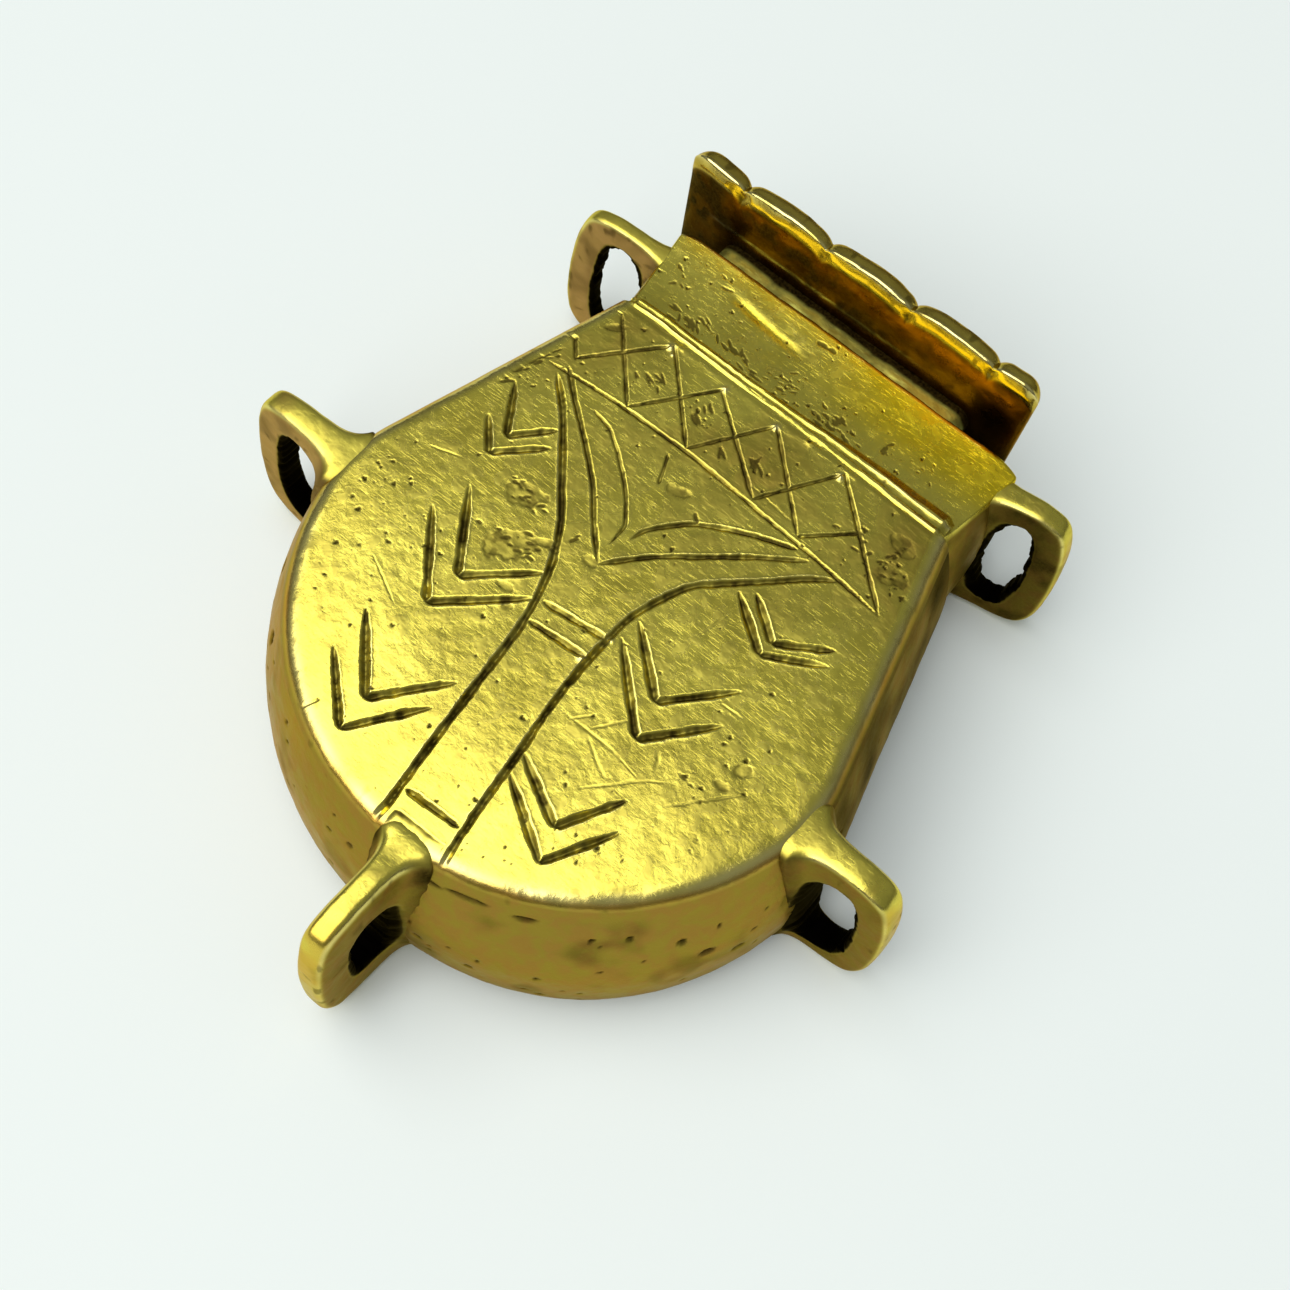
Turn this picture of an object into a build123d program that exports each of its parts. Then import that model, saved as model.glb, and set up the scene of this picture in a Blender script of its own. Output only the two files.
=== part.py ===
"""Flat purse-shaped brass needle case with five cord lugs and a slide-out lid.

Frame, mm: the case lies on its flat back, which is the plane z = 0. The origin is the centre of
the round belly, +Y runs to the neck and the lid, +X to the right and +Z out of the engraved face.
"""

from build123d import *
import os
from math import cos, radians, sin, sqrt

os.makedirs("parts", exist_ok=True)

# Belly: a round purse shape with straight flanks that lean in towards the neck
DEPTH = 16.0          # back to engraved face
BELLY_R = 20.1        # front edge of the belly
SHOULDER_R = 12.0     # front edge where the belly turns into a flank
FLANK_REACH = 19.06   # origin to the flank's line, measured square to it
FLANK_LEAN = 14.6     # degrees
STEP_Y = 20.2         # end of the engraved face
BULGE = 2.5           # how far the side wall swells beyond the front edge
BULGE_LEVEL = 0.3     # where it is widest, as a share of the depth
BACK_EASE = 1.1       # how far the wall draws in again at the back
WALL = 1.3
FACE_T = 1.6
BACK_T = 1.0
WALL_LEVELS = (0.0, 2.4, 4.8, 8.0, 11.5, 14.4, 16.0)

# Neck: a flattened sleeve, a little lower than the face, that leans slightly to the left
MOUTH_Y = 28.8
NECK_TOP = 14.9
NECK_ROOT_HALF = 14.3
MOUTH_HALF = 15.05
MOUTH_SHIFT = -0.7
NECK_WALL = 0.9
NECK_SIDE_WALL = 1.2
NECK_ROOT_BULGE = 2.1
MOUTH_BULGE = 1.2
BEAD_W = 0.8
BEAD_TOP = 16.2

# Lugs: upright handle-shaped plates whose holes run along the edge of the case
LUG_T = 2.0
LUG_REACH = 8.6       # beyond the belly's front edge, at the lug's widest level, for most lugs
LUG_TOP_REACH = 7.3
LUG_LOW_REACH = 7.4
LUG_BOTTOM = 0.3
LUG_WIDEST_Z = 6.5
LUG_CORNERS = (2.6, 9.0, 3.0)     # top, widest level, bottom
LUG_EDGE = 0.5
LUG_ROOT = 1.5        # how far the plate starts inside the wall before it is cut to it
HOLE_REACH = 6.75
HOLE_TOP_REACH = 6.2
HOLE_BEND_Z = 10.0
HOLE_LOW = 1.9
HOLE_BELOW_TOP = 2.6
HOLE_CORNERS = (1.5, 4.0, 1.5)
LUGS = {              # where it leaves the front edge, its heading in degrees, its top, extra reach
    "lug_neck_left": (-14.9, 26.0, 184.0, 14.9, 0.0),
    "lug_neck_right": (14.2, 26.7, 8.0, 14.9, -0.7),
    "lug_side_left": (-20.0, -2.7, 180.0, 15.9, 0.4),
    "lug_side_right": (20.0, -3.0, 0.0, 15.9, 0.0),
    "lug_bottom": (1.7, -20.1, 270.0, 15.9, 1.2),
}

# Lid: an upright scalloped plate on a hollow plug that slides in the neck
LID_X = -1.6
LID_HALF = 15.5
LID_Y = 30.9          # inner face of the plate
LID_T = 1.4
LID_LOW = 0.5
LID_NOTCH_Z = 19.1
SCALLOP = 7.3
SCALLOP_RISE = 1.1
LID_CORNER = 2.5
PLUG_HALF = 11.6      # at the plate
PLUG_TIP_HALF = 10.4
PLUG_TIP_Y = 15.5
PLUG_GAP = 0.12       # running gap above and below the plug
PLUG_WALL = 1.0
PLUG_CORNER = 1.2

# Inside: a felt wad pushed into the plug, with needles stuck into it
FELT_GAP = 0.05
FELT_PROUD = 2.0
NEEDLE_R = 0.42
NEEDLE_LENGTH = 33.0
NEEDLE_POINT = 4.0
NEEDLE_BURIED = 8.0
NEEDLE_PITCH = 3.3
NEEDLE_COUNT = 6
NEEDLE_Z = 8.6
EYE_LENGTH = 2.2
EYE_WIDTH = 0.34


def wall_growth(z):
    """How far the side wall stands beyond the front edge at height z."""
    level = z / DEPTH
    if level >= BULGE_LEVEL:
        return BULGE * (1 - ((level - BULGE_LEVEL) / (1 - BULGE_LEVEL)) ** 2)
    return BULGE - BACK_EASE * ((BULGE_LEVEL - level) / BULGE_LEVEL) ** 2.5


def belly_outline(growth):
    """The belly's outline, grown evenly."""
    out = Vector(cos(radians(FLANK_LEAN)), sin(radians(FLANK_LEAN)))
    down = Vector(out.Y, -out.X)
    inset = FLANK_REACH - SHOULDER_R
    slip = sqrt((BELLY_R - SHOULDER_R) ** 2 - inset ** 2)
    centre = out * inset + down * slip
    corner_r = SHOULDER_R + growth
    corner = Vector((FLANK_REACH + growth - STEP_Y * out.Y) / out.X, STEP_Y)
    flank_end = centre + out * corner_r
    belly_start = centre + centre.normalized() * corner_r
    middle = centre + (out + centre.normalized()).normalized() * corner_r
    with BuildLine() as outline:
        Line(corner, flank_end)
        ThreePointArc(flank_end, middle, belly_start)
        mirror(about=Plane.YZ)
        ThreePointArc(belly_start, (0, -BELLY_R - growth), (-belly_start.X, belly_start.Y))
        Line((-corner.X, STEP_Y), corner)
    return outline.line.edges()


def neck_outline(centre_x, half, bulge, low, top):
    """The neck's cross-section, flat above and below with swollen sides."""
    with BuildLine() as outline:
        Line((centre_x - half, top), (centre_x + half, top))
        ThreePointArc((centre_x + half, top), (centre_x + half + bulge, top * 0.4),
                      (centre_x + half + bulge * 0.6, low))
        Line((centre_x + half + bulge * 0.6, low), (centre_x - half - bulge * 0.6, low))
        ThreePointArc((centre_x - half - bulge * 0.6, low), (centre_x - half - bulge, top * 0.4),
                      (centre_x - half, top))
    return outline.line.edges()


def finish(piece, name):
    """Label a finished sub-part and write it."""
    piece.part.label = name
    export_step(piece.part, f"parts/{name}.step")


# The solid outer shape of the belly, and its hollow
with BuildPart() as belly_form:
    for level in WALL_LEVELS:
        with BuildSketch(Plane.XY.offset(level)):
            make_face(belly_outline(wall_growth(level)))
    loft()

with BuildPart() as belly_hollow:
    for level in WALL_LEVELS:
        with BuildSketch(Plane.XY.offset(level)):
            make_face(belly_outline(wall_growth(level) - WALL))
    loft()

with BuildPart() as neck_form:
    with BuildSketch(Plane.XZ.offset(-STEP_Y)):
        make_face(neck_outline(0, NECK_ROOT_HALF, NECK_ROOT_BULGE, 0, NECK_TOP))
    with BuildSketch(Plane.XZ.offset(-MOUTH_Y)):
        make_face(neck_outline(MOUTH_SHIFT, MOUTH_HALF, MOUTH_BULGE, 0, NECK_TOP))
    loft(ruled=True)

with BuildPart() as front_plate:
    add(belly_form.part)
    split(bisect_by=Plane.XY.offset(DEPTH - FACE_T), keep=Keep.TOP)
finish(front_plate, "front_plate")

with BuildPart() as back_plate:
    add(belly_form.part)
    split(bisect_by=Plane.XY.offset(BACK_T), keep=Keep.BOTTOM)
finish(back_plate, "back_plate")

with BuildPart() as side_band:
    add(belly_form.part)
    add(belly_hollow.part, mode=Mode.SUBTRACT)
    split(bisect_by=Plane.XY.offset(DEPTH - FACE_T), keep=Keep.BOTTOM)
    split(bisect_by=Plane.XY.offset(BACK_T), keep=Keep.TOP)
finish(side_band, "side_band")

with BuildPart() as neck_sleeve:
    add(neck_form.part)
    with BuildSketch(Plane.XZ.offset(-STEP_Y)):
        make_face(neck_outline(0, NECK_ROOT_HALF - NECK_SIDE_WALL, NECK_ROOT_BULGE,
                               BACK_T, NECK_TOP - NECK_WALL))
    with BuildSketch(Plane.XZ.offset(-MOUTH_Y)):
        make_face(neck_outline(MOUTH_SHIFT, MOUTH_HALF - NECK_SIDE_WALL, MOUTH_BULGE,
                               BACK_T, NECK_TOP - NECK_WALL))
    loft(ruled=True, mode=Mode.SUBTRACT)
finish(neck_sleeve, "neck_sleeve")

with BuildPart() as neck_bead:
    with BuildSketch(Plane.YZ):
        with Locations((STEP_Y, NECK_TOP)):
            Rectangle(BEAD_W, BEAD_TOP - NECK_TOP, align=(Align.MIN, Align.MIN))
        fillet(vertices().group_by(Axis.Z)[-1], BEAD_W * 0.42)
    extrude(amount=NECK_ROOT_HALF - 0.2, both=True)
finish(neck_bead, "neck_bead")

for name, (root_x, root_y, heading, top, extra) in LUGS.items():
    outward = Vector(1, 0).rotate(Axis.Z, heading)
    lug_plane = Plane(origin=(root_x, root_y, 0), x_dir=outward,
                      z_dir=outward.cross(Vector(0, 0, 1)))
    with BuildPart() as lug:
        with BuildSketch(lug_plane):
            with BuildLine():
                FilletPolyline((-LUG_ROOT, top), (LUG_TOP_REACH + extra, top),
                               (LUG_REACH + extra, LUG_WIDEST_Z), (LUG_LOW_REACH + extra, LUG_BOTTOM),
                               (-LUG_ROOT, LUG_BOTTOM), radius=LUG_CORNERS)
                Line((-LUG_ROOT, LUG_BOTTOM), (-LUG_ROOT, top))
            make_face()
        extrude(amount=LUG_T / 2, both=True)
        flat_sides = faces().filter_by(Axis(lug_plane.origin, lug_plane.z_dir))
        fillet(flat_sides.edges(), LUG_EDGE)
        with BuildSketch(lug_plane):
            with BuildLine():
                hole_top = top - HOLE_BELOW_TOP
                FilletPolyline((-LUG_ROOT, hole_top), (HOLE_TOP_REACH + extra, hole_top),
                               (HOLE_REACH + extra, HOLE_BEND_Z), (HOLE_REACH + extra, HOLE_LOW),
                               (-LUG_ROOT, HOLE_LOW), radius=HOLE_CORNERS)
                Line((-LUG_ROOT, HOLE_LOW), (-LUG_ROOT, hole_top))
            make_face()
        extrude(amount=LUG_T, both=True, mode=Mode.SUBTRACT)
        add(belly_form.part, mode=Mode.SUBTRACT)
        add(neck_form.part, mode=Mode.SUBTRACT)
    finish(lug, name)

with BuildPart() as lid_plate:
    with BuildSketch(Plane.XZ.offset(-LID_Y)):
        with BuildLine():
            notch_x = [LID_X + SCALLOP * (step - 1.5) for step in range(4)]
            for left, right in zip(notch_x, notch_x[1:]):
                ThreePointArc((left, LID_NOTCH_Z),
                              ((left + right) / 2, LID_NOTCH_Z + SCALLOP_RISE),
                              (right, LID_NOTCH_Z))
            for side in (-1, 1):
                notch = (LID_X + side * SCALLOP * 1.5, LID_NOTCH_Z)
                crown = (LID_X + side * (LID_HALF - LID_CORNER), LID_NOTCH_Z + SCALLOP_RISE * 0.4)
                edge = (LID_X + side * LID_HALF, LID_NOTCH_Z - LID_CORNER)
                ThreePointArc(notch, crown, edge)
                Line(edge, (LID_X + side * LID_HALF, LID_LOW))
            Line((LID_X - LID_HALF, LID_LOW), (LID_X + LID_HALF, LID_LOW))
        make_face()
        fillet(vertices().group_by(Axis.Z)[0], LID_CORNER)
    extrude(amount=-LID_T)
finish(lid_plate, "lid_plate")


def plug_outline(half, inset):
    """Draw the plug's cross-section, drawn in evenly by inset."""
    low = BACK_T + PLUG_GAP + inset
    high = NECK_TOP - NECK_WALL - PLUG_GAP - inset
    with Locations((LID_X, (low + high) / 2)):
        RectangleRounded(2 * (half - inset), high - low, max(PLUG_CORNER - inset, 0.3))


with BuildPart() as lid_plug:
    for inset, mode in ((0, Mode.ADD), (PLUG_WALL, Mode.SUBTRACT)):
        with BuildSketch(Plane.XZ.offset(-LID_Y)):
            plug_outline(PLUG_HALF, inset)
        with BuildSketch(Plane.XZ.offset(-PLUG_TIP_Y)):
            plug_outline(PLUG_TIP_HALF, inset)
        loft(ruled=True, mode=mode)
finish(lid_plug, "lid_plug")

with BuildPart() as needle_felt:
    with BuildSketch(Plane.XZ.offset(-LID_Y)):
        plug_outline(PLUG_TIP_HALF, PLUG_WALL + FELT_GAP)
    extrude(amount=LID_Y - PLUG_TIP_Y + FELT_PROUD)
    fillet(faces().sort_by(Axis.Y)[0].edges(), FELT_PROUD * 0.3)
finish(needle_felt, "needle_felt")

felt_end = PLUG_TIP_Y - FELT_PROUD
for index in range(NEEDLE_COUNT):
    needle_x = LID_X + NEEDLE_PITCH * (index - (NEEDLE_COUNT - 1) / 2)
    point_y = felt_end + NEEDLE_BURIED
    with BuildPart() as needle:
        with BuildSketch(Plane.XY.offset(NEEDLE_Z)):
            with BuildLine():
                Polyline((needle_x, point_y), (needle_x + NEEDLE_R, point_y - NEEDLE_POINT),
                         (needle_x + NEEDLE_R, point_y - NEEDLE_LENGTH),
                         (needle_x, point_y - NEEDLE_LENGTH), close=True)
            make_face()
        revolve(axis=Axis((needle_x, 0, NEEDLE_Z), (0, 1, 0)))
        with BuildSketch(Plane.XY.offset(NEEDLE_Z)):
            with Locations((needle_x, point_y - NEEDLE_LENGTH + EYE_LENGTH)):
                SlotOverall(EYE_LENGTH, EYE_WIDTH, rotation=90)
        extrude(amount=NEEDLE_R, both=True, mode=Mode.SUBTRACT)
    finish(needle, f"needle_{index + 1}")
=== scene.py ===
"""Looks of the cast brass needle case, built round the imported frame. Lengths are in millimetres until
a mesh is written, which is in metres."""
from math import cos, pi, radians, sin, sqrt

import bmesh
import bpy
import numpy as np
from mathutils import Matrix, Vector


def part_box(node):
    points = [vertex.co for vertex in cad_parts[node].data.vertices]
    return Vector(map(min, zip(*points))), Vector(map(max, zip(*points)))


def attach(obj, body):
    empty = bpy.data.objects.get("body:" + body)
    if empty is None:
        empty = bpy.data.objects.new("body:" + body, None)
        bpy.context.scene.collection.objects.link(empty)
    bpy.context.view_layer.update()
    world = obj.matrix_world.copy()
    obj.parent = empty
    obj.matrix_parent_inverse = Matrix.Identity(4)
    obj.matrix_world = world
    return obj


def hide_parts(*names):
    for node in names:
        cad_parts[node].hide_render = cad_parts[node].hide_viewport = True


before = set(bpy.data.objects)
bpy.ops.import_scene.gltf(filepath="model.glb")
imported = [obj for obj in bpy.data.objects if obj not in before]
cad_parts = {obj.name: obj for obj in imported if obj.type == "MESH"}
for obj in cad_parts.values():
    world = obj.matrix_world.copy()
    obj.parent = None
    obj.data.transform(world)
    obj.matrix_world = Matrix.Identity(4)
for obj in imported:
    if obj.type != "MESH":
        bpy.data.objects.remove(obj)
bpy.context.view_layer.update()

MM = 0.001
SHARP = radians(55)         # edges that turn more than this are shaded as sharp


def cad_box(node):
    """Lowest and highest corner of a CAD node, in mm."""
    low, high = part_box(node)
    return np.array(low) / MM, np.array(high) / MM


# ---------------------------------------------------------------- sizes, from the frame
FACE_Z = cad_box("front_plate")[1][2]
FACE_T = FACE_Z - cad_box("front_plate")[0][2]
STEP_Y = cad_box("front_plate")[1][1]
BACK_T = cad_box("back_plate")[1][2]
MOUTH_Y = cad_box("neck_sleeve")[1][1]
NECK_TOP = cad_box("neck_sleeve")[1][2]
BULGE = 2.5                 # how far the side wall swells beyond the face
BELLY_R = -cad_box("side_band")[0][1] - BULGE
SHOULDER_R = 12.0           # where the belly turns into a flank
FLANK_REACH = 19.06         # origin to the flank's line, measured square to it
FLANK_LEAN = radians(14.6)
BULGE_LEVEL = 0.3           # where the wall is widest, as a share of the depth
BACK_EASE = 1.1             # how far the wall draws in again at the back
WALL = 1.3

# ---------------------------------------------------------------- random fields
lattice = np.random.RandomState(11).rand(40, 40, 40)


def noise(points, size, seed=0):
    """A smooth field from -1 to 1 whose lumps are about size mm across."""
    scaled = np.asarray(points, float) / size + seed * 7.31 + 0.17
    base = np.floor(scaled).astype(int)
    part = scaled - base
    part = part * part * (3 - 2 * part)
    total = 0
    for corner in range(8):
        step = np.array([corner & 1, corner >> 1 & 1, corner >> 2 & 1])
        weight = np.prod(np.where(step, part, 1 - part), axis=-1)
        cell = (base + step) % len(lattice)
        total = total + weight * lattice[cell[..., 0], cell[..., 1], cell[..., 2]]
    return total * 2 - 1


def fractal(points, size, seed=0, octaves=3):
    """Noise with finer lumps added, from about -1 to 1."""
    return sum(noise(points, size / 2 ** k, seed + k) / 2 ** k for k in range(octaves)) / 1.5


def ease(value, low, high):
    """0 below low, 1 above high and smooth between."""
    t = np.clip((value - low) / (high - low), 0, 1)
    return t * t * (3 - 2 * t)


# ---------------------------------------------------------------- curves and outlines
def catmull(points, count, closed=False):
    """count points along a smooth curve through the given ones."""
    given = np.asarray(points, float)
    if closed:
        padded = np.vstack([given[-1], given, given[0], given[1]])
        at = np.linspace(0, len(given), count, endpoint=False)
        first = at.astype(int)
    else:
        padded = np.vstack([2 * given[0] - given[1], given, 2 * given[-1] - given[-2]])
        at = np.linspace(0, len(given) - 1, count)
        first = np.minimum(at.astype(int), len(given) - 2)
    t = (at - first)[:, None]
    a, b, c, d = (padded[first + k] for k in range(4))
    return 0.5 * (2 * b + (c - a) * t + (2 * a - 5 * b + 4 * c - d) * t ** 2
                  + (3 * b - a - 3 * c + d) * t ** 3)


flank_out = np.array([cos(FLANK_LEAN), sin(FLANK_LEAN)])
flank_down = np.array([flank_out[1], -flank_out[0]])
shoulder_inset = FLANK_REACH - SHOULDER_R
shoulder_slip = sqrt((BELLY_R - SHOULDER_R) ** 2 - shoulder_inset ** 2)
shoulder = flank_out * shoulder_inset + flank_down * shoulder_slip
belly_turn = pi / 2 + np.arctan2(shoulder[1], shoulder[0])      # angle from -Y where the belly ends
shoulder_turn = pi / 2 + FLANK_LEAN
belly_half = BELLY_R * belly_turn
shoulder_length = SHOULDER_R * (shoulder_turn - belly_turn)


def step_corner(growth):
    """Half the width of the outline where the belly ends at the step."""
    return (FLANK_REACH + growth - STEP_Y * flank_out[1]) / flank_out[0]


flank_start = shoulder + flank_out * SHOULDER_R
flank_length = sqrt((step_corner(0) - flank_start[0]) ** 2 + (STEP_Y - flank_start[1]) ** 2)
half_edge = belly_half + shoulder_length + flank_length


def belly_edge(share, growth):
    """Points on the belly's outline grown evenly. share runs from 0 at the left step corner,
    round the bottom at 0.5, to 1 at the right one."""
    share, growth = np.broadcast_arrays(np.asarray(share, float), np.asarray(growth, float))
    side = np.where(share >= 0.5, 1.0, -1.0)
    along = np.abs(share - 0.5) * 2 * half_edge
    on_belly = along < belly_half
    turn = np.where(on_belly, along / BELLY_R, belly_turn + (along - belly_half) / SHOULDER_R)
    turn = np.minimum(turn, shoulder_turn)
    radius = np.where(on_belly, BELLY_R, SHOULDER_R) + growth
    x = np.where(on_belly, 0, shoulder[0]) + radius * np.sin(turn)
    y = np.where(on_belly, 0, shoulder[1]) - radius * np.cos(turn)
    flank_share = np.clip((along - belly_half - shoulder_length) / flank_length, 0, 1)
    x = x + flank_share * (step_corner(growth) - x)
    y = y + flank_share * (STEP_Y - y)
    return np.stack([side * x, y], -1)


def inside_edge(x, y):
    """How far points lie inside the belly's front edge, negative outside it."""
    x = np.abs(x)
    away_x, away_y = x - shoulder[0], y - shoulder[1]
    turn = pi / 2 + np.arctan2(away_y, away_x)
    flank = FLANK_REACH - x * flank_out[0] - y * flank_out[1]
    corner = SHOULDER_R - np.hypot(away_x, away_y)
    belly = BELLY_R - np.hypot(x, y)
    low = turn < belly_turn
    middle = (turn >= belly_turn) & (turn < shoulder_turn)
    return np.where(low, belly, np.where(middle, corner, flank))


def wall_growth(z):
    """How far the side wall stands beyond the front edge at height z."""
    level = np.asarray(z, float) / FACE_Z
    above = BULGE * (1 - ((level - BULGE_LEVEL) / (1 - BULGE_LEVEL)) ** 2)
    below = BULGE - BACK_EASE * (np.maximum(BULGE_LEVEL - level, 0) / BULGE_LEVEL) ** 2.5
    return np.where(level >= BULGE_LEVEL, above, below)


# ---------------------------------------------------------------- meshes
# grime_and_shade holds soiling and painted shade; wear_and_sheen holds rubbed metal and painted highlights,
# glints and reflections
MARKS = ("grime_and_shade", "wear_and_sheen", "tint", "patina")


def quads(rows, columns, closed_rows=False, closed_columns=False):
    """Faces of a grid of points whose rows follow one another."""
    i = np.arange(rows if closed_rows else rows - 1)[:, None]
    j = np.arange(columns if closed_columns else columns - 1)[None, :]
    next_i, next_j = (i + 1) % rows, (j + 1) % columns
    corners = [i * columns + j, i * columns + next_j, next_i * columns + next_j, next_i * columns + j]
    return np.stack([np.broadcast_to(c, (len(i), j.shape[1])) for c in corners], -1).reshape(-1, 4)


def end_caps(rows, columns):
    """Two faces that close the first and the last column of a grid whose rows are closed."""
    return [[row * columns + column for row in range(rows)] for column in (0, columns - 1)]


def close_rings(start, base, count, rings):
    """Faces that join the points at start to rings of count points, which follow one another from
    point base, and a fan from the last ring to the hub point after it."""
    faces = []
    previous = start
    for k in range(rings):
        current = base + k * count + np.arange(count)
        faces += np.stack([previous, current, np.roll(current, -1), np.roll(previous, -1)], -1).tolist()
        previous = current
    hub = base + rings * count
    faces += [[previous[k], hub, previous[(k + 1) % count]] for k in range(count)]
    return faces


def squared_circle(count, power):
    """Points from -1 to 1 round a square with rounded corners, squarer where power is higher."""
    angle = np.linspace(0, 2 * pi, count, endpoint=False)
    way = np.column_stack([np.cos(angle), np.sin(angle)])
    return np.sign(way) * np.abs(way) ** (2 / power)


def square_border(last):
    """Grid points round a square's border, in order from its lower left corner."""
    return ([(i, 0) for i in range(last)] + [(last, j) for j in range(last)]
            + [(i, last) for i in range(last, 0, -1)] + [(0, j) for j in range(last, 0, -1)])


def make_piece(name, points, faces, body, node, material, marks=None):
    """A smooth mesh piece that stands for a CAD node. marks are values from 0, for none, at each
    point. 1 is a full mark, and grime_and_shade beyond 1 is black, for painted deep shadow."""
    mesh = bpy.data.meshes.new(name)
    mesh.from_pydata((np.asarray(points).reshape(-1, 3) * MM).tolist(), [],
                     [list(f) for f in np.asarray(faces, object)])
    for mark in MARKS:
        values = np.asarray((marks or {}).get(mark, 0.0), np.float32)
        layer = mesh.attributes.new(mark, "FLOAT", "POINT")
        spread = np.broadcast_to(values.ravel(), len(mesh.vertices))
        layer.data.foreach_set("value", np.clip(spread, 0, 2).astype(np.float32))
    tidy = bmesh.new()
    tidy.from_mesh(mesh)
    bmesh.ops.remove_doubles(tidy, verts=tidy.verts, dist=0.002 * MM)
    bmesh.ops.recalc_face_normals(tidy, faces=tidy.faces)
    for face in tidy.faces:
        face.smooth = True
    for edge in tidy.edges:
        edge.smooth = edge.calc_face_angle(0.0) < SHARP
    tidy.to_mesh(mesh)
    tidy.free()
    piece = bpy.data.objects.new(name, mesh)
    bpy.context.scene.collection.objects.link(piece)
    mesh.materials.append(material)
    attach(piece, body)
    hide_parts(node)
    return piece


# ---------------------------------------------------------------- materials
def new_material(name):
    """An empty node material and a function that adds nodes to it."""
    material = bpy.data.materials.new(name)
    material.use_nodes = True
    tree = material.node_tree
    tree.nodes.clear()

    def node(kind, inputs, **settings):
        made = tree.nodes.new("ShaderNode" + kind)
        for key, value in settings.items():
            setattr(made, key, value)
        for key, value in inputs.items():
            if isinstance(value, bpy.types.NodeSocket):
                tree.links.new(value, made.inputs[key])
            else:
                made.inputs[key].default_value = value
        return made

    return material, node


def mapped(node, value, low, high, start=0.0, end=1.0):
    """A value moved from low..high to start..end, and kept there."""
    return node("MapRange", {"Value": value, "From Min": low, "From Max": high,
                             "To Min": start, "To Max": end}, clamp=True).outputs["Result"]


def blended(node, share, first, second, kind="MIX"):
    """Two colours mixed by share."""
    made = node("Mix", {"Factor": share}, data_type="RGBA", blend_type=kind)
    for socket, value in ((6, first), (7, second)):
        if isinstance(value, bpy.types.NodeSocket):
            made.id_data.links.new(value, made.inputs[socket])
        else:
            made.inputs[socket].default_value = (*value, 1.0)
    return made.outputs[2]


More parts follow.
